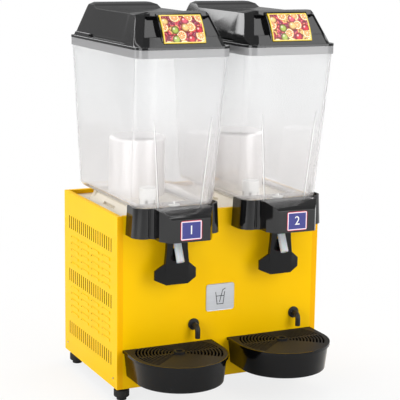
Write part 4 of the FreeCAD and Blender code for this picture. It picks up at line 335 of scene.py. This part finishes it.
def clear_plastic():
    f = Finish("clear_plastic", Transmission_Weight=1.0, IOR=1.55, Specular_IOR_Level=0.5)
    flow, haze = f.noise(14, 2), f.noise(5, 3)
    f.give(Base_Color=f.mix(haze, shade(250, 250, 250), shade(246, 247, 247)),
           Roughness=0.012 + 0.02 * haze, Normal=f.bump(flow, 0.0006, 0.10))

    x, y, z = f.parts()
    collar = z.between(COLLAR_LOW - COLLAR_BLUR, COLLAR_LOW + COLLAR_BLUR)
    # low: the lower half, with more veil and a darker, warmer painted reflection
    low = 1 - z.between(MILK_AND_REFLECTION_LOW, MILK_AND_REFLECTION_HIGH)
    side = abs(across_unit(f, x)) - CREASE_OUT - CREASE_SLOPE * (z - CREASE_FOOT)
    front = (y - FRONT_FOOT - FRONT_SLOPE * (z - CREASE_FOOT)) < FRONT_SKIN
    crease = front * (1 - z.between(CREASE_FADE, CREASE_TOP))
    # A crease is painted: a line of painted shade, and a line of painted highlight beside it.
    crease_shade = crease * (abs(side) < CREASE_SHADE_HALF)
    crease_highlight = crease * (abs(side - HIGHLIGHT_SHIFT) < HIGHLIGHT_HALF)

    # The veil's colour: a painted reflection in the lower half, and the creases' painted shade and
    # painted highlight.
    milk_and_painted_light = f.mix(low, shade(230, 230, 231), shade(212, 208, 207))
    milk_and_painted_light = f.mix(collar, milk_and_painted_light, shade(160, 160, 161))
    milk_and_painted_light = f.mix(crease_shade, milk_and_painted_light, shade(120, 118, 118))
    milk_and_painted_light = f.mix(crease_highlight, milk_and_painted_light, shade(252, 252, 252))
    veil = f.add("ShaderNodeBsdfPrincipled", None,
                 {"Base Color": milk_and_painted_light, "Roughness": 0.10, "Specular IOR Level": 0.5})
    share = (VEIL + 0.04 * low + 0.04 * haze).at_least(collar * COLLAR_VEIL)
    share = share.at_least(0.6 * crease_shade).at_least(0.75 * crease_highlight)

    film = f.add("ShaderNodeBsdfTransparent", None, {"Color": shade(244, 244, 244)})
    shadow = f.add("ShaderNodeLightPath", out="Is Shadow Ray")
    f.end(f.blend(shadow, f.blend(share, f.coat(), veil), film))
    return f.material

# %% [markdown]
# **Pale plastics.** The spout is a cloudy tube: light goes into it and scatters, so it has some
# subsurface scattering under a satin skin. The white pump caps and the beige top plate are plain
# mouldings, with a fine grain and a little dirt in it.

# %% Frosted, white and beige plastic
def frosted_plastic():
    f = Finish("frosted_plastic", Subsurface_Weight=0.4, Subsurface_Scale=0.01,
               Specular_IOR_Level=0.5)
    cloud = f.noise(80, 3)
    return f.give(Base_Color=f.mix(cloud, shade(226, 227, 230), shade(206, 207, 211)),
                  Roughness=0.22 + 0.12 * cloud, Normal=f.bump(cloud, 0.0003, 0.2))


def moulded(name, light, dark, low=0.35):
    f = Finish(name, Specular_IOR_Level=0.45)
    cloud = f.noise(12, 4)
    grime = f.noise(45, 6, 0.7).between(0.6, 0.85)
    colour = f.mix(cloud, light, dark)
    return f.give(Base_Color=f.mix(grime * 0.3, colour, shade(150, 142, 130)),
                  Roughness=low + 0.1 * cloud + 0.1 * grime,
                  Normal=f.bump(f.noise(900), 0.0001, 0.3))

# %% [markdown]
# **Metals.** Stainless steel is brushed, so its noise is stretched until it becomes lines.
# Galvanised sheet shows spangle, the crystals of the zinc, and a Voronoi texture gives each
# crystal its own tone. Copper pipe darkens in patches. The thin fins of the condenser are a fast
# wave of light fins and dark gaps, and the dark gaps are painted shade between the fins.

# %% Metals
FIN_PITCH = 0.0022


def brushed(name, light, dark, stretch, low=0.22, metal=1.0):
    f = Finish(name, Metallic=metal)
    lines = f.noise(900, 2, 0.6, at=f.place(stretch=stretch))
    cloud = f.noise(20, 3)
    return f.give(Base_Color=f.mix(0.6 * lines + 0.4 * cloud, dark, light),
                  Roughness=low + 0.16 * lines + 0.05 * cloud,
                  Normal=f.bump(lines, 0.00006, 0.35))


def spangled():
    f = Finish("galvanised_steel", Metallic=1.0)
    crystal = f.add("ShaderNodeTexVoronoi", None,
                    {"Vector": f.place(), "Scale": 120.0, "Randomness": 1.0}, out="Color")
    tone = f.add("ShaderNodeRGBToBW", None, {0: crystal})
    stain = f.noise(18, 5, 0.65).between(0.5, 0.85)
    colour = f.mix(tone, shade(158, 162, 166), shade(196, 200, 204))
    return f.give(Base_Color=f.mix(stain * 0.35, colour, shade(128, 124, 118)),
                  Roughness=0.3 + 0.22 * tone + 0.15 * stain)


def copper_pipe():
    f = Finish("copper", Metallic=1.0)
    patch = f.noise(70, 5, 0.65)
    return f.give(Base_Color=f.mix(patch.between(0.35, 0.7), shade(205, 128, 92),
                                   shade(138, 84, 62)),
                  Roughness=0.24 + 0.3 * patch, Normal=f.bump(f.noise(500), 0.0001, 0.3))


def fins():
    f = Finish("aluminium_fins", Metallic=1.0)
    x, _, _ = f.parts()
    # Light fins with dark gaps between them: the dark gaps are painted shade.
    fin_and_gap_shade = ((x * (2 * pi / FIN_PITCH)).wave() * 0.5 + 0.5).between(0.25, 0.75)
    dirt = f.noise(60, 5, 0.7)
    colour = f.mix(fin_and_gap_shade, shade(92, 95, 98), shade(205, 207, 210))
    return f.give(Base_Color=f.mix(dirt * 0.3, colour, shade(120, 116, 108)),
                  Roughness=0.35 + 0.2 * dirt, Normal=f.bump(fin_and_gap_shade, 0.0004, 0.6))

# %% [markdown]
# **Prints.** Each lid carries a bowed card with a dense picture of fruit in a yellow border. The
# picture here is worked out, not drawn: a Voronoi texture scatters centres over the card, and
# each centre becomes one fruit. Its random colour picks the kind, its distance gives the round
# shading, and the angle about it cuts the citrus fruits into segments. A finer second layer fills
# the gaps with berries. The card is bent round an axis along X, so the height on the picture is
# an angle about that axis times its radius, and the print isn't stretched.

# %% Scattered fruit
def scatter(f, u, v, spacing, seed):
    """Round things on a plane: distance and offset from the nearest, and its random values."""
    sockets = {0: u / spacing + seed, 1: v / spacing, 2: 0.0}
    at = f.add("ShaderNodeCombineXYZ", None, sockets)
    cell = f.add("ShaderNodeTexVoronoi", {"voronoi_dimensions": "2D"},
                 {"Vector": at, "Scale": 1.0, "Randomness": 0.72}).socket.node
    place = f.parts(Wire(f, cell.outputs["Position"]))
    du, dv = u / spacing + seed - place[0], v / spacing - place[1]
    return Wire(f, cell.outputs["Distance"]), du, dv, f.parts(Wire(f, cell.outputs["Color"]))


def kinds(f, chance, colours):
    """One of several colours for a random value."""
    stops = [(i / len(colours), colour) for i, colour in enumerate(colours)]
    return f.add("ShaderNodeValToRGB", {"interpolation": "CONSTANT", "stops": stops}, {0: chance})


def spark(du, dv, right, up, near, far):
    """A highlight, 1 at a point that lies right and up of the middle."""
    return 1 - (((du - right) ** 2 + (dv - up) ** 2) ** 0.5).between(near, far)


# %% Fruit print
CARD_HALF = 0.0385
BOW_Y, BOW_Z, BOW_RADIUS = -0.02515, 0.609, 0.112
CARD_LOW, CARD_HIGH = 0.0293, 0.0824           # along the bow
CARD_RIM, CARD_BORDER = 0.0011, 0.0023         # widths from the card's edge
FRUIT, BERRY = 0.0172, 0.0050                  # spacing of the two layers
PRINT_BLUR = 0.0003


def past(edge, line):
    """1 further from the edge than a printed line."""
    return edge.between(line, line + PRINT_BLUR)


def fruit_print():
    f = Finish("fruit_print", Specular_IOR_Level=0.4, Roughness=0.22)
    x, y, z = f.parts()
    u = across_unit(f, x)
    v = (z - BOW_Z).angle(BOW_Y - y) * BOW_RADIUS

    distance, du, dv, _ = scatter(f, u, v, BERRY, seed=3.7)
    patch = f.noise(75, 2)
    berries = f.mix(patch.between(0.44, 0.5), shade(150, 44, 78), shade(222, 70, 84))
    berries = f.mix(patch.between(0.54, 0.6), berries, shade(240, 190, 110))
    berries = f.mix(distance.between(0.3, 0.72), berries, shade(96, 36, 34))
    picture = f.mix(spark(du, dv, -0.14, 0.16, 0.05, 0.16) * 0.55, berries, shade(255, 236, 238))

    distance, du, dv, chance = scatter(f, u, v, FRUIT, seed=11.3)
    rim = distance / (0.42 + 0.14 * chance[1])
    colour = kinds(f, chance[0], [shade(214, 40, 62), shade(246, 178, 96), shade(236, 126, 92),
                                  shade(176, 196, 88), shade(250, 206, 130), shade(226, 92, 116)])
    ball = f.mix(rim.between(0.35, 1.05), colour, shade(120, 34, 30), "MULTIPLY")
    ball = f.mix(spark(du, dv, -0.12, 0.14, 0.04, 0.15) * 0.7, ball, shade(255, 248, 240))
    turn = dv.angle(du)
    wedge = abs((turn * 4 + chance[2] * 6).wave()).between(0.1, 0.45) * rim.between(0.08, 0.2)
    flesh = f.mix(chance[2], shade(248, 178, 88), shade(246, 146, 74))
    flesh = f.mix(wedge, shade(255, 240, 206), flesh)
    cut = f.mix(rim.between(0.72, 0.78), flesh, shade(255, 244, 214))
    cut = f.mix(rim.between(0.88, 0.93), cut, shade(240, 176, 60))
    fruit = f.mix(chance[1] > 0.52, ball, cut)
    picture = f.mix(1 - rim.between(0.97, 1.03), picture, fruit)

    edge = (CARD_HALF - abs(u)).at_most(v - CARD_LOW).at_most(CARD_HIGH - v)
    border = f.mix(past(edge, CARD_RIM), shade(222, 188, 30), shade(255, 232, 130))
    return f.give(Base_Color=f.mix(past(edge, CARD_BORDER), border, picture))

# %% [markdown]
# The label on a tap's cover is printed too: a blue field, a pale line and a thin red edge, all
# three at fixed distances from the label's outline.

# %% Label print
LABEL_RIM, LABEL_LINE = 0.0010, 0.0026         # widths from the label's edge


def label_print():
    f = Finish("label_print", Specular_IOR_Level=0.45, Roughness=0.25)
    low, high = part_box("left_tap_label")
    middle, half_wide, half_high = (low + high) / 2, (high - low).x / 2, (high - low).z / 2
    x, _, z = f.parts()
    edge = (half_wide - abs(across_unit(f, x))).at_most(half_high - abs(z - middle.z))
    blue = f.mix(f.noise(60, 3), shade(52, 54, 126), shade(62, 64, 140))
    colour = f.mix(past(edge, LABEL_LINE), shade(246, 232, 240), blue)
    return f.give(Base_Color=f.mix(past(edge, LABEL_RIM), shade(206, 58, 92), colour))

# %% [markdown]
# ## Dressing the solids
# The record names a material slot for every solid. Each slot gets its finish once, and a few
# solids take a variant of it: a paler steel for the cooling cylinders, duller blacks for the
# levers, trays and grids, and a painted shade inside the side panels. The solids whose shape is
# already right take their finish as they are.

# %% One finish for each slot
UP_LINES, CROSS_LINES = (1, 1, 0.03), (0.03, 1, 1)      # the stretch of a brushed finish
finishes = {
    "yellow_paint": yellow_paint("yellow_paint"),
    # the side panels' paint, with painted shade on their inside
    "shaded_inside_panel": yellow_paint("shaded_inside_panel", inner_shade=True),
    "galvanised_steel": spangled(),
    "stainless_steel": brushed("stainless_steel", shade(226, 224, 221), shade(188, 186, 184),
                               UP_LINES),
    "satin_steel": brushed("satin_steel", shade(255, 252, 252), shade(236, 232, 232),
                           UP_LINES, 0.26, metal=0.72),
    "badge_metal": brushed("badge_metal", shade(208, 210, 213), shade(172, 174, 178),
                           CROSS_LINES, 0.28),
    "copper": copper_pipe(),
    "aluminium_fins": fins(),
    "black_gloss": black_gloss("black_gloss"),
    "satin_black": black_gloss("satin_black", 0.10, 3, 0.26),
    "grid_black": black_gloss("grid_black", 0.5, 30, 0.14),
    "black_plastic": grained_black("black_plastic", 2600, 0.38, 24),
    "black_rubber": grained_black("black_rubber", 1500, 0.62, 24),
    "rubber_hose": grained_black("rubber_hose", 1200, 0.5, 34),
    "black_enamel": grained_black("black_enamel", 700, 0.24, 18),
    "clear_plastic": clear_plastic(),
    "frosted_plastic": frosted_plastic(),
    "beige_plastic": moulded("beige_plastic", shade(232, 224, 208), shade(222, 213, 196)),
    "white_plastic": moulded("white_plastic", shade(246, 246, 244), shade(236, 236, 233)),
    "pale_rubber": moulded("pale_rubber", shade(216, 212, 204), shade(202, 198, 190), 0.55),
    "printed_card": fruit_print(),
    "blue_label": label_print(),
}
slot_of = {row["node"]: row["material_slot"] for row in frame["record"]["subparts"]}
variant = {"evaporators": "satin_steel"}
for side in SIDES:
    variant.update({f"{side}_tap_lever": "satin_black", f"{side}_drip_tray": "satin_black",
                    f"{side}_drip_grid": "grid_black", f"{side}_side_panel": "shaded_inside_panel"})
finish_of = {name: variant.get(name, slot_of[name]) for name in nodes}
for name, solid in nodes.items():
    solid.data.materials.clear()
    solid.data.materials.append(finishes[finish_of[name]])
print(len(nodes), "solids in", len(set(finish_of.values())), "finishes")

# %% [markdown]
# ## Soft edges
# A CAD edge is perfectly sharp, and real ones never are: a moulding has a radius of a few
# tenths of a millimetre, and it is that radius which catches the light. Each moulded solid is
# copied for that. First come three helpers: one copies a solid and joins its loose triangles,
# one turns the worked copy into a plain mesh, and one takes a mesh into the scene as a piece.

# %% From a solid to a piece
WELD = 2e-6                         # corners closer than this are one


def welded(node):
    """A copy of a solid to work on, with its loose triangles joined."""
    work = bmesh.new()
    work.from_mesh(nodes[node].data)
    bmesh.ops.remove_doubles(work, verts=work.verts, dist=WELD)
    return work


def plain(work, name, smooth=True):
    """The worked copy as a plain mesh."""
    for face in work.faces:
        face.smooth = smooth
    shape = bpy.data.meshes.new(name)
    work.to_mesh(shape)
    work.free()
    return shape


def finished(shape, name, body, finish, stands_for=()):
    """Takes a mesh into the scene as a piece that rides on a body."""
    piece = bpy.data.objects.new(name, shape)
    bpy.context.scene.collection.objects.link(piece)
    if finish is not None:
        shape.materials.clear()
        shape.materials.append(finishes[finish])
    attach(piece, body)
    if stands_for:
        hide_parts(*stands_for)
    return piece


# %% [markdown]
# The triangles of the copy are merged into whole faces, and a Bevel modifier rounds every edge
# above a given angle. Weighted normals keep the large faces flat. A whole face with a wide
# opening can be drawn wrong, with a sheet across the opening, and then its area grows. So the
# area is compared with the solid's, and such a solid keeps its triangles.

# %% A softened copy of a solid
FLAT = radians(0.6)                 # a smaller angle between two faces is none
FORWARD = -0.6                      # a face whose normal has less Y than this looks forward
MOST_AREA = 1.002                   # of the solid's, for a copy that is drawn right
EDGE_STEPS = 2                      # faces across a rounding


def applied(piece):
    """The mesh of an object with its modifiers, as plain data."""
    graph = bpy.context.evaluated_depsgraph_get()
    shape = bpy.data.meshes.new_from_object(piece.evaluated_get(graph))
    piece.modifiers.clear()
    return shape


def area(shape):
    """The area of a mesh as it is drawn, triangle by triangle."""
    shape.calc_loop_triangles()
    return sum(triangle.area for triangle in shape.loop_triangles)


def sink(work, node, border, depth):
    """Sinks the front face inside a border."""
    low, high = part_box(node)
    front = [face for face in work.faces
             if face.normal.y < FORWARD and face.calc_center_median().y < (low.y + high.y) / 2]
    bmesh.ops.inset_region(work, faces=front, thickness=border, depth=0, use_even_offset=True)
    for vert in {vert for face in front for vert in face.verts}:
        vert.co += Vector((0, depth, 0))


def soften(node, width, angle=30, recess=None, whole=True):
    """Copies a solid with soft edges and, where a recess is given, a sunk front face."""
    work = welded(node)
    if whole:
        bmesh.ops.dissolve_limit(work, angle_limit=FLAT, verts=work.verts, edges=work.edges)
    if recess:
        sink(work, node, *recess)
    trial = bpy.data.objects.new(node + "_trial", plain(work, node + "_soft"))
    bpy.context.scene.collection.objects.link(trial)
    bevel = trial.modifiers.new("edges", "BEVEL")
    bevel.width, bevel.segments = width, EDGE_STEPS
    bevel.limit_method, bevel.angle_limit = "ANGLE", radians(angle)
    trial.modifiers.new("normals", "WEIGHTED_NORMAL").keep_sharp = True
    result = applied(trial)
    bpy.data.objects.remove(trial)

    share = area(result) / area(nodes[node].data)
    if whole and share > MOST_AREA:
        return soften(node, width, angle, recess, whole=False)
    result.name = node + "_soft"
    finished(result, node + "_soft", nodes[node]["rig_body"], finish_of[node], (node,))
    print(f"{node}_soft: {len(result.polygons)} faces, {share:.4f} of the area, whole {whole}")


# %% [markdown]
# A thin card takes a smaller rounding than a lid. The slots of a drip grid and the vents of a side
# panel are so narrow that only the sharper edges there are rounded. The cards and the badge also
# get a raised border.

# %% How soft each edge is
FOR_EACH_SIDE = {  # the width of the rounding and the smallest angle that gets it
    "lid": (0.0012, 30), "tap_cover": (0.0009, 30), "tap_lever": (0.0007, 30),
    "drip_tray": (0.0008, 30), "tap_label": (0.0003, 30), "thermostat_knob": (0.0007, 30),
    "drip_grid": (0.0004, 40), "pump_switch": (0.0005, 30), "side_panel": (0.0006, 40),
}
ONCE, ONCE_ANGLE = {  # the width alone, with one angle for all
    "power_switch": 0.0005, "pump_housings": 0.001, "evaporators": 0.0006,
    "drain_elbows": 0.0006, "levelling_feet": 0.0008, "top_plate": 0.001,
    "front_panel": 0.0009, "back_panel": 0.0006, "switch_frames": 0.0006,
    "mains_inlet": 0.0006, "tank_gaskets": 0.0006,
}, 35
CARD_BORDER_WIDE, CARD_SINK = 0.0016, 0.0004   # a border, and how far the face lies behind it
BADGE_BORDER_WIDE, BADGE_SINK = 0.0018, 0.0005

for side in SIDES:
    for part, (width, angle) in FOR_EACH_SIDE.items():
        soften(f"{side}_{part}", width, angle)
    soften(f"{side}_picture_panel", 0.0004, recess=(CARD_BORDER_WIDE, CARD_SINK))
for part, width in ONCE.items():
    soften(part, width, ONCE_ANGLE)
soften("badge", 0.0003, recess=(BADGE_BORDER_WIDE, BADGE_SINK))

# %% [markdown]
# ## The return springs
# A small spring stands on each lever's tail and shuts the tap again. When the paddle is pushed, the
# tail rises and the spring gets shorter. The solid, a plain sleeve of the coil's size, can't do
# that, so a copy stands for it and is squashed towards its upper seat while the lever swings.

# %% Spring copies
for side in SIDES:
    low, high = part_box(f"{side}_tap_spring")
    shape = plain(welded(f"{side}_tap_spring"), f"{side}_return_spring")
    spring = finished(shape, f"{side}_return_spring", f"{side}_tank_body", "stainless_steel",
                      (f"{side}_tap_spring",))
    middle = (low + high) / 2
    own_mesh(spring)

# %% [markdown]
# ## Screws, by Geometry Nodes
# Four pan head screws hold the side panels. A screw repeats, so one node tree makes it. The tree
# is built here with its sizes as named inputs, so it can be used again with other sizes.

# %% A node tree with named inputs
class Recipe:
    """A Geometry Nodes tree. Its sizes are named inputs."""

    def __init__(self, name, sizes):
        self.tree = bpy.data.node_groups.new(name, "GeometryNodeTree")
        face = self.tree.interface
        face.new_socket("Geometry", in_out="INPUT", socket_type="NodeSocketGeometry")
        face.new_socket("Geometry", in_out="OUTPUT", socket_type="NodeSocketGeometry")
        self.sockets = {key: face.new_socket(key, in_out="INPUT", socket_type="NodeSocketFloat")
                        for key in sizes}
        self.sizes = sizes
        self.inputs = self.tree.nodes.new("NodeGroupInput")
        self.output = self.tree.nodes.new("NodeGroupOutput")

    def size(self, key):
        return self.inputs.outputs[key]

    def add(self, kind, settings=None, sockets=None, out=0):
        node = self.tree.nodes.new(kind)
        for key, value in (settings or {}).items():
            setattr(node, key, value)
        for key, value in (sockets or {}).items():
            for one in (value if isinstance(value, list) else [value]):
                if isinstance(one, bpy.types.NodeSocket):
                    self.tree.links.new(one, node.inputs[key])
                else:
                    node.inputs[key].default_value = one
        return node.outputs[out]

    def times(self, value, factor):
        return self.add("ShaderNodeMath", {"operation": "MULTIPLY"}, {0: value, 1: factor})

    def build(self, last, material, points):
        """Runs the tree on a cloud of points and returns a plain mesh."""
        real = self.add("GeometryNodeRealizeInstances", None, {"Geometry": last})
        done = self.add("GeometryNodeSetMaterial", None, {"Geometry": real, "Material": material})
        self.tree.links.new(done, self.output.inputs[0])
        cloud = bpy.data.meshes.new(self.tree.name)
        cloud.from_pydata(points, [], [])
        holder = bpy.data.objects.new(self.tree.name, cloud)
        bpy.context.scene.collection.objects.link(holder)
        live = holder.modifiers.new("recipe", "NODES")
        live.node_group = self.tree
        for key, value in self.sizes.items():
            live[self.sockets[key].identifier] = value
        shape = applied(holder)
        bpy.data.objects.remove(holder)
        return shape


# %% [markdown]
# A pan head is a flat dome with a cross cut into it. The tree makes the dome from a cone, cuts it
# with two bars and adds a shank, and then puts one screw on each point of a small mesh. A screw
# has to point away from the machine, and the sign of its X tells which way that is.

# %% Pan head screws
SCREW = {"head": 0.0035, "height": 0.0016, "shank": 0.0016, "length": 0.0028, "bar": 0.0009}
DOME_TOP, SHANK_DROP = 0.62, -0.4              # shares of the head and of the shank's length
CROSS_DEEP, CROSS_WIDE = 0.9, 1.35             # shares of the height and of a bar's own size


def screw_mesh(points, material):
    r = Recipe("screws", SCREW)
    top = r.times(r.size("head"), DOME_TOP)
    dome = r.add("GeometryNodeMeshCone", None,
                 {"Vertices": 32, "Side Segments": 3, "Radius Top": top,
                  "Radius Bottom": r.size("head"), "Depth": r.size("height")})
    stem = r.add("GeometryNodeMeshCylinder", None,
                 {"Vertices": 16, "Radius": r.size("shank"), "Depth": r.size("length")})
    down = r.add("ShaderNodeCombineXYZ", None, {2: r.times(r.size("length"), SHANK_DROP)})
    stem = r.add("GeometryNodeTransform", None, {"Geometry": stem, "Translation": down})

    deep, bars = r.times(r.size("height"), CROSS_DEEP), []
    for wide, tall in ((top, r.size("bar")), (r.size("bar"), top)):
        wide, tall = r.times(wide, CROSS_WIDE), r.times(tall, CROSS_WIDE)
        size = r.add("ShaderNodeCombineXYZ", None, {0: wide, 1: tall, 2: deep})
        bars.append(r.add("GeometryNodeMeshCube", None, {"Size": size}))
    cross = r.add("GeometryNodeTransform", None,
                  {"Geometry": r.add("GeometryNodeJoinGeometry", None, {"Geometry": bars}),
                   "Translation": r.add("ShaderNodeCombineXYZ", None, {2: r.size("height")})})
    head = r.add("GeometryNodeMeshBoolean", {"operation": "DIFFERENCE"},
                 {"Mesh 1": dome, "Mesh 2": cross})
    screw = r.add("GeometryNodeJoinGeometry", None, {"Geometry": [head, stem]})

    place = r.add("GeometryNodeInputPosition")
    aside = r.add("ShaderNodeVectorMath", {"operation": "MULTIPLY"}, {0: place, 1: (1, 0, 0)})
    turn = r.add("FunctionNodeAlignRotationToVector", {"axis": "Z"}, {"Vector": aside})
    on = r.add("GeometryNodeInstanceOnPoints", None,
               {"Points": r.inputs.outputs[0], "Instance": screw, "Rotation": turn})
    return r.build(on, material, points)


low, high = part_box("panel_screws")
spots = [(way * SIDE_SKIN, y, (low.z + high.z) / 2) for way in (-1, 1)
         for y in (low.y + SCREW["head"], high.y - SCREW["head"])]
screws = finished(screw_mesh(spots, finishes["stainless_steel"]), "screws", "cabinet", None,
                  ("panel_screws",))
print("Four screws,", len(screws.data.polygons), "faces")

# %% [markdown]
# ## Marks
# Numbers and signs are text turned into thin meshes. A font curve is laid out flat, so each mark
# is turned into the plane it stands on before its place is written into its points.

# %% A mark on a face
MARK_THICK = 0.0002


def mark(name, words, at, size, body, finish, behind=False):
    """Raised writing on an upright face that looks forward, or backward if behind."""
    font = bpy.data.curves.new(name, "FONT")
    font.body, font.size, font.extrude = words, size, MARK_THICK / 2
    font.align_x, font.align_y = "CENTER", "CENTER"
    holder = bpy.data.objects.new(name, font)
    bpy.context.scene.collection.objects.link(holder)
    shape = applied(holder)
    bpy.data.objects.remove(holder)
    turn = Matrix.Rotation(pi if behind else 0, 4, "Z") @ Matrix.Rotation(pi / 2, 4, "X")
    shape.transform(Matrix.Translation(at) @ turn)
    finished(shape, name, body, finish)


# %% [markdown]
# The taps are numbered on their labels. On the back, every switch has its two signs above and
# below it, and each thermostat knob stands in a dial: a number at every second step of its turn
# and a dot between them.

# %% Tap numbers, switch signs and dials
NUMBER, SIGN, FIGURE, DOT = 0.022, 0.009, 0.008, 0.012    # sizes of the writing
SIGN_REACH, SIGN_GAP = 0.72, 0.004             # a share of the switch's height, and more
DIAL_GAP, TURN, STEPS = 0.006, radians(270), 10

for number, side in enumerate(SIDES, 1):
    low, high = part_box(f"{side}_tap_label")
    middle = (low + high) / 2
    mark(f"{side}_tap_number", str(number), (middle.x, low.y, middle.z), NUMBER,
         f"{side}_tank_body", "white_plastic")
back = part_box("back_panel")[1].y
for name in ("left_pump_switch", "power_switch", "right_pump_switch"):
    low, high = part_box(name)
    middle, reach = (low + high) / 2, (high.z - low.z) * SIGN_REACH + SIGN_GAP
    for word, state, way in (("I", "on", 1), ("O", "off", -1)):
        mark(f"{name}_{state}", word, (middle.x, back, middle.z + way * reach), SIGN,
             "cabinet", "black_plastic", behind=True)
for side in SIDES:
    low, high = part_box(f"{side}_thermostat_knob")
    middle, reach = (low + high) / 2, (high.x - low.x) / 2 + DIAL_GAP
    for step in range(STEPS + 1):
        angle = -TURN / 2 + TURN * step / STEPS
        at = (middle.x - reach * sin(angle), back, middle.z + reach * cos(angle))
        name, word, size = ((f"{side}_dial_dot_{step}", ".", DOT) if step % 2 else
                            (f"{side}_dial_{step}", str(step // 2), FIGURE))
        mark(name, word, at, size, "cabinet", "black_plastic", behind=True)

# %% [markdown]
# The badge keeps a plain metal field. A tumbler with a straw says what the machine gives, in six
# thin bars: one function lays a bar between two points of the plate.

# %% A sign of bars
BAR_WIDE = 0.0012
TUMBLER = (  # the ends of each bar, in millimetres from the badge's middle
    ((-9, 9), (-6, -13)), ((-6, -13), (6, -13)), ((6, -13), (9, 9)),
    ((-7.9, 2), (7.9, 2)), ((-1, -9), (5, 13)), ((5, 13), (10, 15)),
)


def bar_sign(name, bars, at, body, finish):
    """Flat bars between pairs of points on the plane y = at.y, looking forward."""
    work = bmesh.new()
    for (x0, z0), (x1, z1) in bars:
        x0, z0, x1, z1 = (v / 1000 for v in (x0, z0, x1, z1))
        along = Vector((x1 - x0, 0, z1 - z0))
        across = Vector((along.z, 0, -along.x)).normalized() * BAR_WIDE / 2
        along = along.normalized() * BAR_WIDE / 2
        first, last = Vector((x0, 0, z0)) - along, Vector((x1, 0, z1)) + along
        corners = [first - across, first + across, last + across, last - across]
        rings = [[work.verts.new(at + corner + Vector((0, depth, 0))) for corner in corners]
                 for depth in (-MARK_THICK, MARK_THICK)]
        work.faces.new(rings[0])
        work.faces.new(rings[1][::-1])
        for i in range(4):
            j = (i + 1) % 4
            work.faces.new([rings[0][j], rings[0][i], rings[1][i], rings[1][j]])
    bmesh.ops.recalc_face_normals(work, faces=work.faces)
    return finished(plain(work, name, smooth=False), name, body, finish)


low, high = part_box("badge")
field = Vector(((low.x + high.x) / 2, low.y + BADGE_SINK, (low.z + high.z) / 2))
sign = bar_sign("badge_tumbler", TUMBLER, field, "cabinet", "black_plastic")
print("The tumbler has", len(sign.data.polygons), "faces")

# %% [markdown]
# ## The floor and the light
# The lamps are large and soft, and they are set so that a painted colour renders about as it is
# written. The white background doesn't come from more light on the machine: rays that look
# straight at the floor or the world, or through the clear tanks, find it white, and mirrored
# rays find a part of that white.

# %% Who looks
MIRRORED = 0.1                      # of the backdrop's white, in a mirror


def white_share(f):
    """How much of a backdrop's white a ray sees: all of it directly, a part in a mirror."""
    direct, through, gloss = (f.add("ShaderNodeLightPath", out=kind) for kind in
                              ("Is Camera Ray", "Is Transmission Ray", "Is Glossy Ray"))
    return (direct + through).at_most(1).at_least(gloss * MIRRORED)


# %% [markdown]
# A plain pale disc catches the shadow. Close to the machine it keeps a fifth of its own shading,
# and further out it fades into the white, so no horizon shows.

# %% Floor
FLOOR_RADIUS, FLOOR_STEPS = 6.0, 64
FADE_START, FADE_END = 0.35, 1.5    # distances from the machine's middle


def pale_floor():
    f = Finish("pale_floor", Roughness=0.9, Specular_IOR_Level=0.1)
    f.give(Base_Color=f.mix(f.noise(2), shade(238, 238, 238), shade(232, 232, 232)))
    glow = f.add("ShaderNodeEmission", None, {"Color": (1, 1, 1, 1), "Strength": 1.0})
    x, y, _ = f.parts()
    far = ((x * x + y * y) ** 0.5).between(FADE_START, FADE_END)
    f.end(f.blend(white_share(f) * (0.8 + 0.2 * far), f.coat(), glow))
    return f.material


turns = [2 * pi * i / FLOOR_STEPS for i in range(FLOOR_STEPS)]
rim = [(FLOOR_RADIUS * cos(turn), FLOOR_RADIUS * sin(turn), 0) for turn in turns]
disc = bpy.data.meshes.new("floor")
disc.from_pydata(rim, [], [tuple(range(FLOOR_STEPS))])
disc.materials.append(pale_floor())
floor = bpy.data.objects.new("floor", disc)
bpy.context.scene.collection.objects.link(floor)
print("The floor is", 2 * FLOOR_RADIUS, "m wide")

# %% [markdown]
# The world is a dim, even light that fills the shadows. It is wired in the same way as a finish,
# with a second, bright background for the rays that should find white.

# %% World
AMBIENT = 0.28


class Surround(Finish):
    """A world, made with the same methods."""

    def __init__(self, world):
        world.use_nodes = True
        self.tree = world.node_tree
        self.tree.nodes.clear()
        self.output = self.tree.nodes.new("ShaderNodeOutputWorld")


studio = bpy.data.worlds.new("studio")
bpy.context.scene.world = studio
around = Surround(studio)
dim, bright = (around.add("ShaderNodeBackground", None, {"Color": (1, 1, 1, 1), "Strength": power})
               for power in (AMBIENT, 1.0))
around.end(around.blend(white_share(around), dim, bright))
print("The world gives", AMBIENT, "of the white")

# %% [markdown]
# Seven soft boxes stand round the machine. The two on the left light the side panel, the fill
# lights the front, the brow and the top light the lids, and the last two keep the back and the
# right side from going dark.

# %% Lamps
def softbox(name, at, aim, width, height, power):
    lamp = bpy.data.lights.new(name, "AREA")
    lamp.shape, lamp.size, lamp.size_y, lamp.energy = "RECTANGLE", width, height, power
    holder = bpy.data.objects.new(name, lamp)
    back = (Vector(at) - Vector(aim)).normalized()
    holder.matrix_world = (Matrix.Translation(at)
                           @ back.to_track_quat("Z", "Y").to_matrix().to_4x4())
    holder.visible_camera = False
    bpy.context.scene.collection.objects.link(holder)


middle = (0, 0.05, 0.35)
softbox("key", (-2.3, -1.2, 1.0), middle, 1.5, 1.9, 29)
softbox("left", (-2.1, 1.1, 1.0), middle, 1.0, 1.8, 13)
softbox("fill", (1.12, -2.48, 1.15), middle, 1.7, 2.3, 40)
softbox("brow", (1.3, -1.25, 2.4), middle, 1.0, 1.2, 8)
softbox("top", (0.1, 0.25, 2.4), middle, 1.5, 1.5, 22)
softbox("rear", (-0.9, 2.3, 1.9), middle, 1.4, 1.4, 26)
softbox("right", (2.2, 0.9, 1.2), middle, 1.2, 1.6, 17)
print(len(bpy.data.lights), "lamps")
